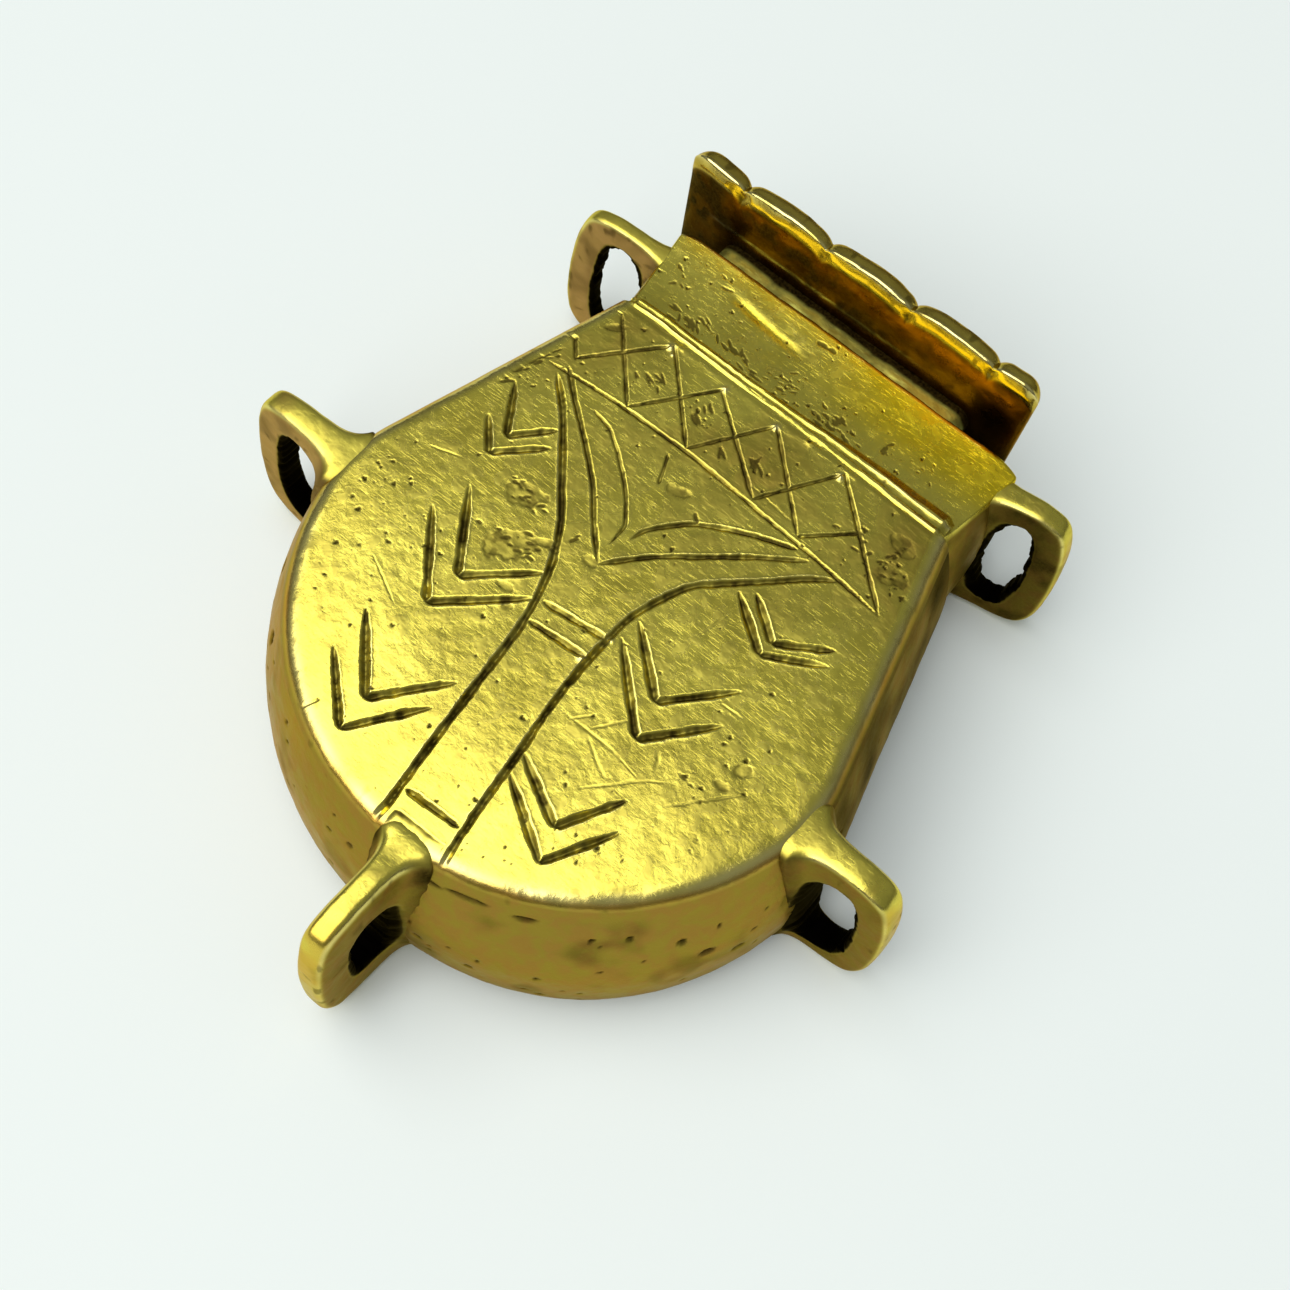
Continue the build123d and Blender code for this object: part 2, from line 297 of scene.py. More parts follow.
def brass(name, bright, dull, stain, stain_share, rough, speckle=0.5, lumps=1.0,
          old=((0.31, 0.225, 0.030), (0.34, 0.20, 0.035)), warm=(0.62, 0.30, 0.03)):
    """Old cast brass: two tones in soft clouds, brown stains, dark soiling and painted shade where the piece
    is marked with grime_and_shade, black beyond 1 for painted deep shadow, bright metal for rubbed edges
    and painted highlights where it is marked with wear_and_sheen, an old skin where it is marked with patina,
    and fine pits, grain and rubbed scratches."""
    material, node = new_material(name)
    place = node("TexCoord", {}).outputs["Object"]
    darkening = node("Attribute", {}, attribute_name="grime_and_shade").outputs["Fac"]
    worn = node("Attribute", {}, attribute_name="wear_and_sheen").outputs["Fac"]
    tinted = node("Attribute", {}, attribute_name="tint").outputs["Fac"]
    aged = node("Attribute", {}, attribute_name="patina").outputs["Fac"]

    def cloud(per_mm, detail=3.0, stretch=(1, 1, 1), turn=0.0, distortion=0.0):
        moved = node("Mapping", {"Vector": place, "Rotation": (0, 0, turn),
                                 "Scale": tuple(1000 * per_mm * s for s in stretch)}).outputs["Vector"]
        return node("TexNoise", {"Vector": moved, "Scale": 1.0, "Detail": detail,
                                 "Distortion": distortion}).outputs["Fac"]

    wide, patchy, fine = cloud(0.16, 3), cloud(0.75, 3.5, distortion=0.4), cloud(5.0, 3)
    swells, dents = cloud(0.75, 1.5), cloud(2.1, 3, distortion=0.6)
    tone = blended(node, mapped(node, wide, 0.38, 0.62), dull, bright)
    tone = blended(node, mapped(node, patchy, 0.50, 0.80, 0, stain_share), tone, stain)
    skin = blended(node, mapped(node, patchy, 0.40, 0.60), *old)
    tone = blended(node, aged, tone, skin)
    tone = blended(node, mapped(node, fine, 0.60, 0.74, 0, 0.6 * speckle), tone, stain)
    tone = blended(node, tinted, tone, warm)
    dark = blended(node, mapped(node, fine, 0.35, 0.65), (0.012, 0.007, 0.0015), (0.055, 0.037, 0.008))
    # worn carries wear_and_sheen: rubbed metal, and painted highlights, glints and reflections
    tone = blended(node, mapped(node, worn, 0.0, 1.0, 0, 0.8), tone, (0.95, 0.84, 0.36))
    # Painted shade: grime_and_shade darkens towards brown-black, and past 0.95 towards black for painted deep
    # shadow
    tone = blended(node, darkening, tone, dark)
    tone = blended(node, mapped(node, darkening, 0.95, 1.4), tone, (0.002, 0.0015, 0.001))

    rub_a = cloud(0.9, 2, stretch=(1, 14, 1), turn=0.5)
    rub_b = cloud(0.8, 2, stretch=(1, 12, 1), turn=2.3)
    rub = node("Math", {0: mapped(node, rub_a, 0.62, 0.72), 1: mapped(node, rub_b, 0.64, 0.74)},
               operation="ADD").outputs[0]
    roughness = mapped(node, patchy, 0.3, 0.75, rough - 0.02, rough + 0.05)
    roughness = node("Math", {0: darkening, 1: 0.30, 2: roughness}, operation="MULTIPLY_ADD").outputs[0]
    roughness = node("Math", {0: aged, 1: 0.08, 2: roughness}, operation="MULTIPLY_ADD").outputs[0]
    roughness = node("Math", {0: worn, 1: -0.10, 2: roughness}, operation="MULTIPLY_ADD").outputs[0]

    pore_cells = node("TexVoronoi", {"Vector": place, "Scale": 900.0, "Randomness": 1.0})
    pores = mapped(node, pore_cells.outputs["Distance"], 0.06, 0.20)
    relief = node("Bump", {"Height": swells, "Strength": 0.6 * lumps, "Distance": 0.09 * MM})
    relief = node("Bump", {"Height": dents, "Strength": 0.8 * lumps, "Distance": 0.020 * MM,
                           "Normal": relief.outputs["Normal"]})
    relief = node("Bump", {"Height": fine, "Strength": 0.7 * lumps, "Distance": 0.007 * MM,
                           "Normal": relief.outputs["Normal"]})
    relief = node("Bump", {"Height": pores, "Strength": 0.4 * speckle, "Distance": 0.012 * MM,
                           "Normal": relief.outputs["Normal"]})
    relief = node("Bump", {"Height": rub, "Strength": 0.5, "Distance": 0.008 * MM,
                           "Normal": relief.outputs["Normal"]}, invert=True)
    surface = node("BsdfPrincipled", {"Base Color": tone, "Metallic": 1.0, "Roughness": roughness,
                                      "Specular Tint": (0.88, 0.76, 0.50, 1.0),
                                      "Normal": relief.outputs["Normal"]})
    node("OutputMaterial", {"Surface": surface.outputs["BSDF"]})
    return material


GOLD, PALE_GOLD, BROWN = (0.78, 0.675, 0.105), (0.66, 0.56, 0.085), (0.36, 0.27, 0.05)
case_brass = brass("case_brass", GOLD, PALE_GOLD, BROWN, 0.35, 0.25)
lug_brass = brass("lug_brass", GOLD, PALE_GOLD, BROWN, 0.5, 0.27, warm=(0.70, 0.42, 0.05))
copper_brass = brass("copper_brass", GOLD, PALE_GOLD, BROWN, 0.5, 0.32,
                     old=((0.38, 0.235, 0.070), (0.44, 0.27, 0.085)), warm=(0.62, 0.34, 0.10))
neck_brass = brass("neck_brass", GOLD, PALE_GOLD, BROWN, 0.35, 0.25, warm=(0.80, 0.60, 0.015))
lid_brass = brass("lid_brass", (0.66, 0.52, 0.09), (0.56, 0.42, 0.06), (0.30, 0.20, 0.03), 0.5, 0.20,
                  old=((0.088, 0.031, 0.0016), (0.138, 0.057, 0.003)), warm=(0.38, 0.16, 0.008))
plug_brass = brass("plug_brass", (0.56, 0.57, 0.13), (0.48, 0.48, 0.11), (0.30, 0.29, 0.08), 0.6, 0.40,
                   speckle=1.0, lumps=1.2)


def felt_cloth():
    """Dense wool felt, with fibres that lie all ways."""
    material, node = new_material("wool_felt")
    place = node("TexCoord", {}).outputs["Object"]
    tufts = node("TexNoise", {"Vector": place, "Scale": 900.0, "Detail": 6.0}).outputs["Fac"]
    fibres = node("TexNoise", {"Vector": place, "Scale": 5200.0, "Detail": 4.0,
                               "Distortion": 2.5}).outputs["Fac"]
    tone = blended(node, mapped(node, tufts, 0.35, 0.65), (0.20, 0.030, 0.028), (0.36, 0.065, 0.05))
    tone = blended(node, mapped(node, fibres, 0.55, 0.75, 0, 0.6), tone, (0.50, 0.14, 0.11))
    relief = node("Bump", {"Height": tufts, "Strength": 0.8, "Distance": 0.25 * MM})
    relief = node("Bump", {"Height": fibres, "Strength": 0.9, "Distance": 0.08 * MM,
                           "Normal": relief.outputs["Normal"]})
    surface = node("BsdfPrincipled", {"Base Color": tone, "Roughness": 0.95, "Sheen Weight": 0.6,
                                      "Sheen Roughness": 0.5, "Normal": relief.outputs["Normal"]})
    node("OutputMaterial", {"Surface": surface.outputs["BSDF"]})
    return material


def needle_steel():
    """Polished steel with fine grinding lines along the needle."""
    material, node = new_material("needle_steel")
    place = node("TexCoord", {}).outputs["Object"]
    lines = node("Mapping", {"Vector": place, "Scale": (14000, 500, 14000)}).outputs["Vector"]
    grind = node("TexNoise", {"Vector": lines, "Scale": 1.0, "Detail": 2.0}).outputs["Fac"]
    tone = blended(node, mapped(node, grind, 0.3, 0.7), (0.56, 0.57, 0.59), (0.72, 0.72, 0.72))
    rough = mapped(node, grind, 0.3, 0.7, 0.16, 0.30)
    relief = node("Bump", {"Height": grind, "Strength": 0.3, "Distance": 0.005 * MM})
    surface = node("BsdfPrincipled", {"Base Color": tone, "Metallic": 1.0, "Roughness": rough,
                                      "Normal": relief.outputs["Normal"]})
    node("OutputMaterial", {"Surface": surface.outputs["BSDF"]})
    return material


# ---------------------------------------------------------------- the engraving on the face
# Each stroke: its points, its full width, its depth, and the share of it that tapers at each end.
TRUNK = (0.54, 0.24, 0.04, 0.04)
PETAL = (0.44, 0.19, 0.08, 0.06)
FINE = (0.30, 0.13, 0.10, 0.10)
HATCH = (0.34, 0.14, 0.06, 0.10)
BAR = (0.50, 0.22, 0.10, 0.10)
CUT = (0.62, 0.27, 0.25, 0.07)
SCRATCH = (0.15, 0.04, 0.3, 0.3)

strokes = [
    ([(-0.6, -21.0), (-1.5, -14.2), (-2.2, -8.4), (-2.8, -4.2), (-4.0, -0.3), (-5.7, 2.8), (-7.6, 5.1),
      (-9.5, 7.4), (-11.5, 9.7), (-13.8, 11.8)], TRUNK),
    ([(4.4, -20.3), (3.7, -16.1), (3.1, -11.5), (2.5, -7.6), (2.2, -4.2), (2.2, 0.1), (2.6, 2.0),
      (3.4, 4.3), (4.1, 5.5), (5.9, 7.4), (7.4, 8.9), (9.3, 10.9), (11.0, 12.2)], TRUNK),
    ([(-1.9, 2.2), (-4.2, 4.5), (-6.1, 6.6), (-8.8, 8.9), (-11.5, 11.0), (-13.6, 12.8)], PETAL),
    ([(-1.9, 2.2), (0.5, 5.1), (2.8, 7.2), (5.1, 9.3), (6.6, 10.5), (8.5, 12.0)], PETAL),
    ([(-10.0, 11.2), (-8.0, 10.7), (-5.7, 9.1), (-4.0, 7.6), (-3.0, 6.4), (-2.4, 5.5), (-2.3, 3.9)], FINE),
    ([(-1.5, 5.1), (-1.1, 6.4), (0.1, 8.0), (1.2, 9.1), (3.9, 10.7), (5.9, 11.6), (7.4, 12.2)], PETAL),
    ([(-14.9, 12.2), (-9.9, 12.7), (-3.4, 13.0), (0.5, 12.9), (4.7, 12.65), (8.2, 12.5), (14.6, 12.0)],
     HATCH),
    ([(-3.8, 12.0), (-2.8, 9.7)], FINE),
    ([(-2.8, -2.35), (2.2, -1.6)], BAR),
    ([(-2.6, -4.0), (2.0, -3.5)], BAR),
    ([(-0.6, -17.7), (3.5, -17.35)], BAR),
    ([(-0.2, -19.15), (4.0, -19.0)], BAR),
]
hatch_up = [((-13.7, 13.7), (-9.35, 19.1)), ((-8.4, 13.0), (-4.2, 18.9)), ((-3.2, 13.2), (0.3, 18.9)),
            ((2.7, 13.2), (6.2, 19.1)), ((6.8, 13.0), (9.9, 16.2))]
hatch_down = [((-13.8, 18.9), (-8.4, 13.0)), ((-9.2, 19.3), (-3.2, 13.2)), ((-4.4, 18.7), (2.7, 13.2)),
              ((0.3, 19.1), (6.8, 13.0)), ((6.2, 19.3), (14.5, 12.0)), ((-15.5, 15.8), (-13.6, 13.5))]
strokes += [([start, end], HATCH) for start, end in hatch_up + hatch_down]
# Chevrons: left tip, vertex and right tip, outer one first
chevrons = [
    ((-15.1, 6.0), (-13.0, 3.7), (-10.1, 6.8)), ((-15.5, 9.3), (-13.0, 5.5), (-10.7, 8.2)),
    ((-13.0, -1.9), (-8.4, -7.5), (-3.4, -2.6)), ((-12.2, 0.9), (-8.2, -4.7), (-4.1, -0.7)),
    ((-10.7, -13.7), (-6.5, -17.5), (-3.1, -12.7)), ((-11.0, -10.4), (-6.7, -15.0), (-3.1, -10.4)),
    ((6.4, 7.0), (10.3, 4.3), (14.2, 6.7)), ((7.4, 7.7), (10.4, 5.5), (13.9, 7.9)),
    ((2.8, -0.9), (8.0, -5.7), (11.6, -1.3)), ((2.9, 0.8), (7.3, -2.9), (11.0, 1.4)),
    ((3.5, -12.7), (8.7, -15.8), (11.2, -11.1)), ((3.2, -11.1), (7.9, -13.5), (10.2, -9.2)),
]
for left, vertex, right in chevrons:
    strokes += [([left, vertex], CUT), ([right, vertex], CUT)]
scratches = [
    [(3.1, -7.4), (5.2, -7.3), (7.3, -7.3), (10.0, -7.7)], [(5.4, -7.5), (7.9, -8.9), (8.7, -8.6)],
    [(7.3, -10.7), (8.8, -9.1), (10.0, -7.7), (11.5, -6.5)], [(9.7, -5.3), (10.4, -6.8)],
    [(3.9, -7.5), (5.1, -6.1)], [(5.3, -7.2), (6.8, -5.1)], [(10.5, -0.1), (12.2, 0.0)],
    [(6.4, 2.5), (6.9, 5.2)], [(-13.5, -7.2), (-9.8, -9.0)], [(-16.4, 1.4), (-14.0, 2.2)],
    [(1.0, 14.1), (6.2, 13.6)], [(12.2, -8.0), (15.6, -3.9)],
]
strokes += [(line, SCRATCH) for line in scratches]

# Rough dark patches: centre, half sizes, turn in degrees
patches = [(-8.9, 2.9, 1.75, 0.95, 12), (-7.4, -0.7, 2.0, 1.2, 35), (-5.8, 0.9, 0.8, 0.3, 30),
           (13.3, 15.0, 1.4, 0.8, 30), (12.6, 17.4, 1.1, 0.6, -20), (-2.4, 2.0, 0.55, 0.35, 0),
           (-5.4, -3.2, 0.75, 0.35, 10), (-4.3, -4.1, 0.5, 0.3, 0), (14.5, -2.7, 0.65, 0.4, 50),
           (14.1, -4.5, 0.5, 0.3, 0), (-1.5, 10.2, 0.8, 0.35, 20), (-13.3, 17.6, 0.8, 0.35, 40)]
# Groups of short dark dabs: centre, spread, half length, half width, turn in degrees, how many
face_dabs = [(-8.9, 15.8, 0.75, 0.42, 0.55, 0.12, -20, 8), (-4.1, 15.7, 0.40, 0.60, 0.40, 0.14, -50, 7),
             (1.2, 15.5, 0.35, 0.50, 0.55, 0.13, -50, 6), (-1.1, 14.5, 0.15, 0.20, 0.55, 0.14, -45, 3),
             (-16.0, 10.6, 0.28, 0.80, 0.40, 0.17, 55, 12), (-15.3, 12.8, 0.12, 0.35, 0.60, 0.09, 60, 3),
             (-15.0, 9.8, 0.45, 0.35, 0.14, 0.12, 0, 3), (9.9, 16.5, 0.25, 0.30, 0.30, 0.12, -20, 4),
             (8.3, 15.4, 0.35, 0.12, 0.25, 0.10, 0, 3), (10.3, 15.3, 0.20, 0.30, 0.30, 0.10, 20, 3),
             (0.7, 9.4, 0.05, 0.05, 0.42, 0.18, -5, 1), (-4.2, 2.6, 0.10, 0.25, 0.35, 0.15, 80, 3),
             (12.9, 15.6, 0.90, 0.90, 0.22, 0.11, 30, 14), (-6.2, -0.3, 1.10, 0.60, 0.28, 0.13, 30, 16),
             (-8.8, 2.8, 0.90, 0.45, 0.30, 0.12, 10, 14), (12.2, -5.8, 0.30, 0.25, 0.22, 0.12, 0, 3)]
neck_dabs = [(-9.6, 22.6, 1.30, 0.40, 0.48, 0.13, -15, 18), (-5.8, 22.7, 1.20, 0.35, 0.50, 0.13, -20, 14),
             (-1.3, 22.9, 0.90, 0.60, 0.30, 0.09, 25, 18), (3.0, 22.7, 1.20, 0.50, 0.34, 0.15, -15, 30),
             (-1.5, 27.6, 0.22, 0.12, 0.42, 0.20, -10, 3), (6.9, 23.8, 0.15, 0.30, 0.30, 0.13, 70, 4),
             (-13.0, 24.4, 0.25, 0.20, 0.28, 0.12, 0, 2), (-10.5, 27.2, 0.30, 0.20, 0.30, 0.11, 10, 3),
             (8.0, 26.5, 0.10, 0.10, 0.14, 0.10, 0, 1), (10.1, 24.4, 0.50, 0.40, 0.20, 0.09, 0, 5),
             (-13.8, 26.0, 0.40, 0.30, 0.25, 0.10, -20, 4), (-9.9, 26.6, 0.20, 0.10, 0.45, 0.10, 10, 2)]
# Beads of metal pushed up where cuts end, painted bright as glints: x, y, size
beads = [(-9.3, 19.0, 0.30), (-4.2, 18.9, 0.28), (0.4, 18.9, 0.30), (6.2, 18.8, 0.32), (1.7, -3.75, 0.30),
         (-8.8, 18.6, 0.16), (2.3, -1.5, 0.22)]


def mark_patches(x, y, spots, seed):
    """How strongly each point is inside a rough patch with a torn edge."""
    strength = np.zeros_like(x)
    flat = np.stack([x, y, 0 * x], -1)
    torn = fractal(flat, 0.9, seed, 3)
    for centre_x, centre_y, half_x, half_y, turn in spots:
        c, s = cos(radians(turn)), sin(radians(turn))
        across = ((x - centre_x) * c + (y - centre_y) * s) / half_x
        up = (-(x - centre_x) * s + (y - centre_y) * c) / half_y
        strength = np.maximum(strength, ease(1.15 - np.hypot(across, up) + 0.55 * torn, 0.10, 0.32))
    return strength


def mark_dabs(x, y, groups, seed):
    """How dark each point is from the groups of short dabs."""
    random = np.random.RandomState(seed)
    dark = np.zeros_like(x)
    torn = 0.30 * noise(np.stack([x, y, 0 * x], -1), 0.25, seed)
    for centre_x, centre_y, spread_x, spread_y, long, wide, turn, count in groups:
        for _ in range(count):
            dab_x, dab_y = (centre_x, centre_y) + random.randn(2) * (spread_x, spread_y)
            size = 0.6 + 0.7 * random.rand()
            bearing = radians(turn + 18 * random.randn())
            near = np.nonzero((np.abs(x - dab_x) < 2 * long) & (np.abs(y - dab_y) < 2 * long))
            off_x, off_y = x[near] - dab_x, y[near] - dab_y
            along = (off_x * cos(bearing) + off_y * sin(bearing)) / (long * size)
            aside = (-off_x * sin(bearing) + off_y * cos(bearing)) / (wide * size)
            dark[near] = np.maximum(dark[near], ease(1.1 - np.hypot(along, aside) + torn[near], 0.0, 0.35))
    return dark


def scattered_pits(count, seed, low, high, clustered=()):
    """Places and sizes of small casting pits: x, y, radius, depth."""
    random = np.random.RandomState(seed)
    place = low + random.rand(count, 2) * (np.asarray(high) - low)
    for centre_x, centre_y, spread, number in clustered:
        place = np.vstack([place, (centre_x, centre_y) + spread * random.randn(number, 2)])
    radius = 0.06 + 0.15 * random.rand(len(place)) ** 3
    return np.column_stack([place, radius, radius * (0.3 + 0.3 * random.rand(len(place)))])


def sink_pits(x, y, pits):
    """Depth of the pits and how dark each point in them is."""
    depth = np.zeros_like(x)
    dark = np.zeros_like(x)
    order = np.argsort(x)
    sorted_x = x[order]
    for number, (pit_x, pit_y, radius, deep) in enumerate(pits):
        first, last = np.searchsorted(sorted_x, (pit_x - 2 * radius, pit_x + 2 * radius))
        near = order[first:last]
        turn = 2.4 * number
        across = (x[near] - pit_x) * cos(turn) + (y[near] - pit_y) * sin(turn)
        up = -(x[near] - pit_x) * sin(turn) + (y[near] - pit_y) * cos(turn)
        bearing = np.arctan2(up, across)
        lobed = 1 + 0.22 * np.sin(3 * bearing + number) + 0.12 * np.sin(5 * bearing + 2 * number)
        away = np.hypot(across, up * 1.5) / (radius * lobed)
        depth[near] = np.maximum(depth[near], deep * (1 - ease(away, 0.2, 1.2)))
        dark[near] = np.maximum(dark[near], 1 - ease(away, 0.75, 1.25))
    return depth, dark


def cut_strokes(x, y, cuts, margin=0.45):
    """Depth of the engraved strokes, the burr beside them, the dirt in them, and how near one is."""
    depth, burr, dark = np.zeros_like(x), np.zeros_like(x), np.zeros_like(x)
    near = np.full_like(x, 9.0)
    for number, (points, (width, deep, lead, tail)) in enumerate(cuts):
        line = np.asarray(points, float)
        if len(line) > 2:
            line = catmull(line, 4 * len(line))
        reach = width + margin
        box = ((x > line[:, 0].min() - reach) & (x < line[:, 0].max() + reach)
               & (y > line[:, 1].min() - reach) & (y < line[:, 1].max() + reach))
        chosen = np.nonzero(box)[0]
        here = np.stack([x[chosen], y[chosen]], -1)
        best = np.full(len(chosen), 99.0)
        along, side = np.zeros(len(chosen)), np.zeros(len(chosen))
        runs = np.linalg.norm(np.diff(line, axis=0), axis=1)
        starts = np.concatenate([[0], np.cumsum(runs)])
        for k, run in enumerate(runs):
            way = (line[k + 1] - line[k]) / run
            offset = here - line[k]
            t = np.clip(offset @ way, 0, run)
            away = offset - t[:, None] * way
            distance = np.hypot(away[:, 0], away[:, 1])
            closer = distance < best
            best = np.where(closer, distance, best)
            along = np.where(closer, starts[k] + t, along)
            side = np.where(closer, np.sign(way[0] * away[:, 1] - way[1] * away[:, 0]), side)
        share = along / starts[-1]
        spot = np.stack([along, 0 * along, 0 * along + 3.7 * number], -1)
        swell = np.sqrt(np.clip(share / lead, 0.02, 1)) * np.sqrt(np.clip((1 - share) / tail, 0.02, 1))
        swell = swell * (1 + 0.20 * noise(spot, 1.1, 3) + 0.10 * noise(spot, 0.35, 4))
        edge = best + 0.03 * noise(spot, 0.30, 5) * side
        half = 0.5 * width * swell
        chatter = 1 + 0.30 * noise(spot, 0.8, 6) + 0.18 * noise(spot, 0.28, 7)
        inner = np.clip(1 - edge / np.maximum(half, 0.02), 0, 1)
        groove = deep * np.clip(swell, 0.3, 1.2) * chatter * inner ** 0.9
        lip = 0.06 * deep * np.exp(-((edge - half - 0.04) / 0.07) ** 2) * (1 + 0.5 * side) * swell
        depth[chosen] = np.maximum(depth[chosen], groove)
        burr[chosen] = np.maximum(burr[chosen], lip)
        lengths = 0.78 + 0.35 * noise(spot, 1.2, 8) + 0.20 * noise(spot, 0.4, 9)
        darkening = ease(inner, 0.05, 0.38) * np.clip(lengths, 0.3, 0.95) * min(1, deep / 0.14)
        dark[chosen] = np.maximum(dark[chosen], darkening)
        near[chosen] = np.minimum(near[chosen], best - half)
    return depth, burr, dark, near


CROWN = 0.42          # how much lower the face's edge is than its middle
CROWN_REACH = 8.5


def face_height(x, y):
    """The engraved face's surface without its marks."""
    flat = np.stack([x, y, 0 * x], -1)
    inside = inside_edge(x, y)
    low_side = 0.55 + 0.45 * ease(-y, -6, 8)
    crown = CROWN * low_side * np.clip(1 - inside / CROWN_REACH, 0, 1.3) ** 2
    ripple = 0.05 * noise(flat, 7.0, 1) + 0.018 * noise(flat, 2.6, 2)
    return FACE_Z - crown + ripple * ease(inside, -0.5, 3)


face_pits = scattered_pits(230, 5, (-20, -20), (20, 20), [
    (-9, 16, 1.5, 14), (-4, 16, 1.2, 12), (13.5, -4.5, 1.4, 16), (12.5, 16, 1.8, 26), (-15, 11, 1.6, 22),
    (1, 15, 1.3, 10), (-17, -2, 1.5, 20), (6, -17.5, 3.0, 26), (-13, -5, 2.0, 16)])
RIM_IN = 0.95         # where the face starts to roll over its edge
MIDDLE = np.array([0.0, 0.5])
SIDE_SHARE = 0.343    # share of the outline from the step corner to the square's lower corner
FINEST = 512          # cells across the square that the face's mesh is made in


def square_edge(u, v, growth):
    """Where a point on the unit square's border lies on the face's outline. Its top is the step."""
    x_top = u * step_corner(growth)
    share = np.where(v <= -1 + 1e-9, 0.5 + u * (0.5 - SIDE_SHARE),
                     np.where(u > 0, 1 - (1 - v) / 2 * SIDE_SHARE, (1 - v) / 2 * SIDE_SHARE))
    edge = belly_edge(np.clip(share, 0, 1), growth)
    on_top = (v >= 1 - 1e-9)[..., None]
    return np.where(on_top, np.stack([x_top, np.full_like(u, STEP_Y)], -1), edge)


def square_to_face(u, v, growth=-RIM_IN):
    """Square coordinates to a place on the face."""
    reach = np.maximum(np.maximum(np.abs(u), np.abs(v)), 1e-9)
    border = square_edge(u / reach, v / reach, growth)
    return MIDDLE + reach[..., None] * (border - MIDDLE)


def cells_of(size):
    """Middles of the square's cells, size finest cells wide, as places on the face."""
    at = (np.arange(0, FINEST, size) + size / 2) / FINEST * 2 - 1
    u, v = np.meshgrid(at, at, indexing="ij")
    place = square_to_face(u, v)
    return place[..., 0], place[..., 1]


def face_leaves():
    """Cells of three sizes, small where the face is cut or pitted: lists of (i, j, size)."""
    x, y = cells_of(2)
    shape = x.shape
    deep_cuts = [s for s in strokes if s[1] is not SCRATCH]
    near = cut_strokes(x.ravel(), y.ravel(), deep_cuts)[3].reshape(shape)
    patch = mark_patches(x.ravel(), y.ravel(), patches, 21).reshape(shape)
    grown = face_pits.copy()
    grown[:, 2] += 0.10
    pit = sink_pits(x.ravel(), y.ravel(), grown)[1].reshape(shape)
    small = (near < 0.16) | (pit > 0.05)
    wider = [(*group[:4], group[4] + 0.08, group[5] + 0.08, *group[6:]) for group in face_dabs]
    small |= mark_dabs(x.ravel(), y.ravel(), wider, 5).reshape(shape) > 0.05
    small |= (patch > 0.05) & (patch < 0.95)
    faint = cut_strokes(x.ravel(), y.ravel(), [s for s in strokes if s[1] is SCRATCH])[3].reshape(shape)
    small |= faint < 0.10
    spread = small.copy()
    for di, dj in ((1, 0), (-1, 0), (0, 1), (0, -1)):
        spread |= np.roll(small, (di, dj), (0, 1))
    medium = spread | (near < 0.45) | (patch > 0.02)
    block = medium.reshape(shape[0] // 2, 2, shape[1] // 2, 2).any((1, 3))
    block_fine = np.repeat(np.repeat(block, 2, 0), 2, 1)
    leaves = [np.column_stack([*np.nonzero(~block)]) * 4,
              np.column_stack([*np.nonzero(block_fine & ~small)]) * 2]
    unit = np.column_stack([*np.nonzero(small)]) * 2
    leaves.append(np.vstack([unit + (a, b) for a in (0, 1) for b in (0, 1)]))
    return leaves


def mark_face(x, y):
    """The height of the engraved face at each point, and its soiling, its rubbed metal with painted glints,
    and its patina.
    """
    depth, burr, dark, _ = cut_strokes(x, y, strokes)
    pit_depth, pit_dark = sink_pits(x, y, face_pits)
    patch = mark_patches(x, y, patches, 21)
    dabs = mark_dabs(x, y, face_dabs, 5)
    flat = np.stack([x, y, 0 * x], -1)
    crust = 0.035 * patch * (1 + 0.5 * noise(flat, 0.35, 9))
    z = face_height(x, y) - np.maximum(depth, pit_depth) + burr - crust
    # A filed line and a faint ridge run beside the step
    ridge_y = y - 19.45 - 0.25 * ease(x, 4, 14) * noise(flat, 3.0, 4)
    ridge = 0.09 * np.exp(-(ridge_y / 0.16) ** 2) * (0.6 + 0.4 * noise(flat, 1.4, 12))
    z = z - 0.08 * np.exp(-((y - 19.85) / 0.16) ** 2) + ridge
    wear_and_sheen = ease(burr, 0.006, 0.03) * 0.6
    torn_edge = 4 * patch * (1 - patch)
    patch_dirt = patch * (0.34 + 0.35 * ease(noise(flat, 0.5, 10), 0.0, 0.4)) + 0.35 * torn_edge
    grime_and_shade = np.maximum.reduce([dark, 0.9 * pit_dark, patch_dirt, 0.85 * dabs])
    for bead_x, bead_y, size in beads:
        away = np.hypot(x - bead_x, y - bead_y) / size
        z = z + 0.45 * size * np.exp(-(1.3 * away) ** 2) * (1 + 0.5 * noise(flat, 0.3, 19))
        lit = np.exp(-(1.1 * away) ** 2)
        wear_and_sheen = np.maximum(wear_and_sheen, lit)
        grime_and_shade = grime_and_shade * (1 - lit)
    z = z - 0.03 * dabs
    old = 0.55 * ease(y, 4, 17) * ease(fractal(flat, 6.0, 18), -0.5, 0.5)
    return z, grime_and_shade, wear_and_sheen, old


def leaf_faces(leaves, index, used):
    """A face for each cell, which takes in the points that finer neighbours put on its sides."""
    sides = (((0, 0), (1, 0)), ((1, 0), (1, 1)), ((1, 1), (0, 1)), ((0, 1), (0, 0)))
    faces = []
    for cells, size in zip(leaves, (4, 2, 1)):
        for i, j in cells:
            ring = []
            for (a, b), (c, d) in sides:
                ring.append(index[i + a * size, j + b * size])
                middle = (i + (a + c) * size // 2, j + (b + d) * size // 2)
                if size > 1 and used[middle]:
                    ring.append(index[middle])
            faces.append(ring)
    return faces


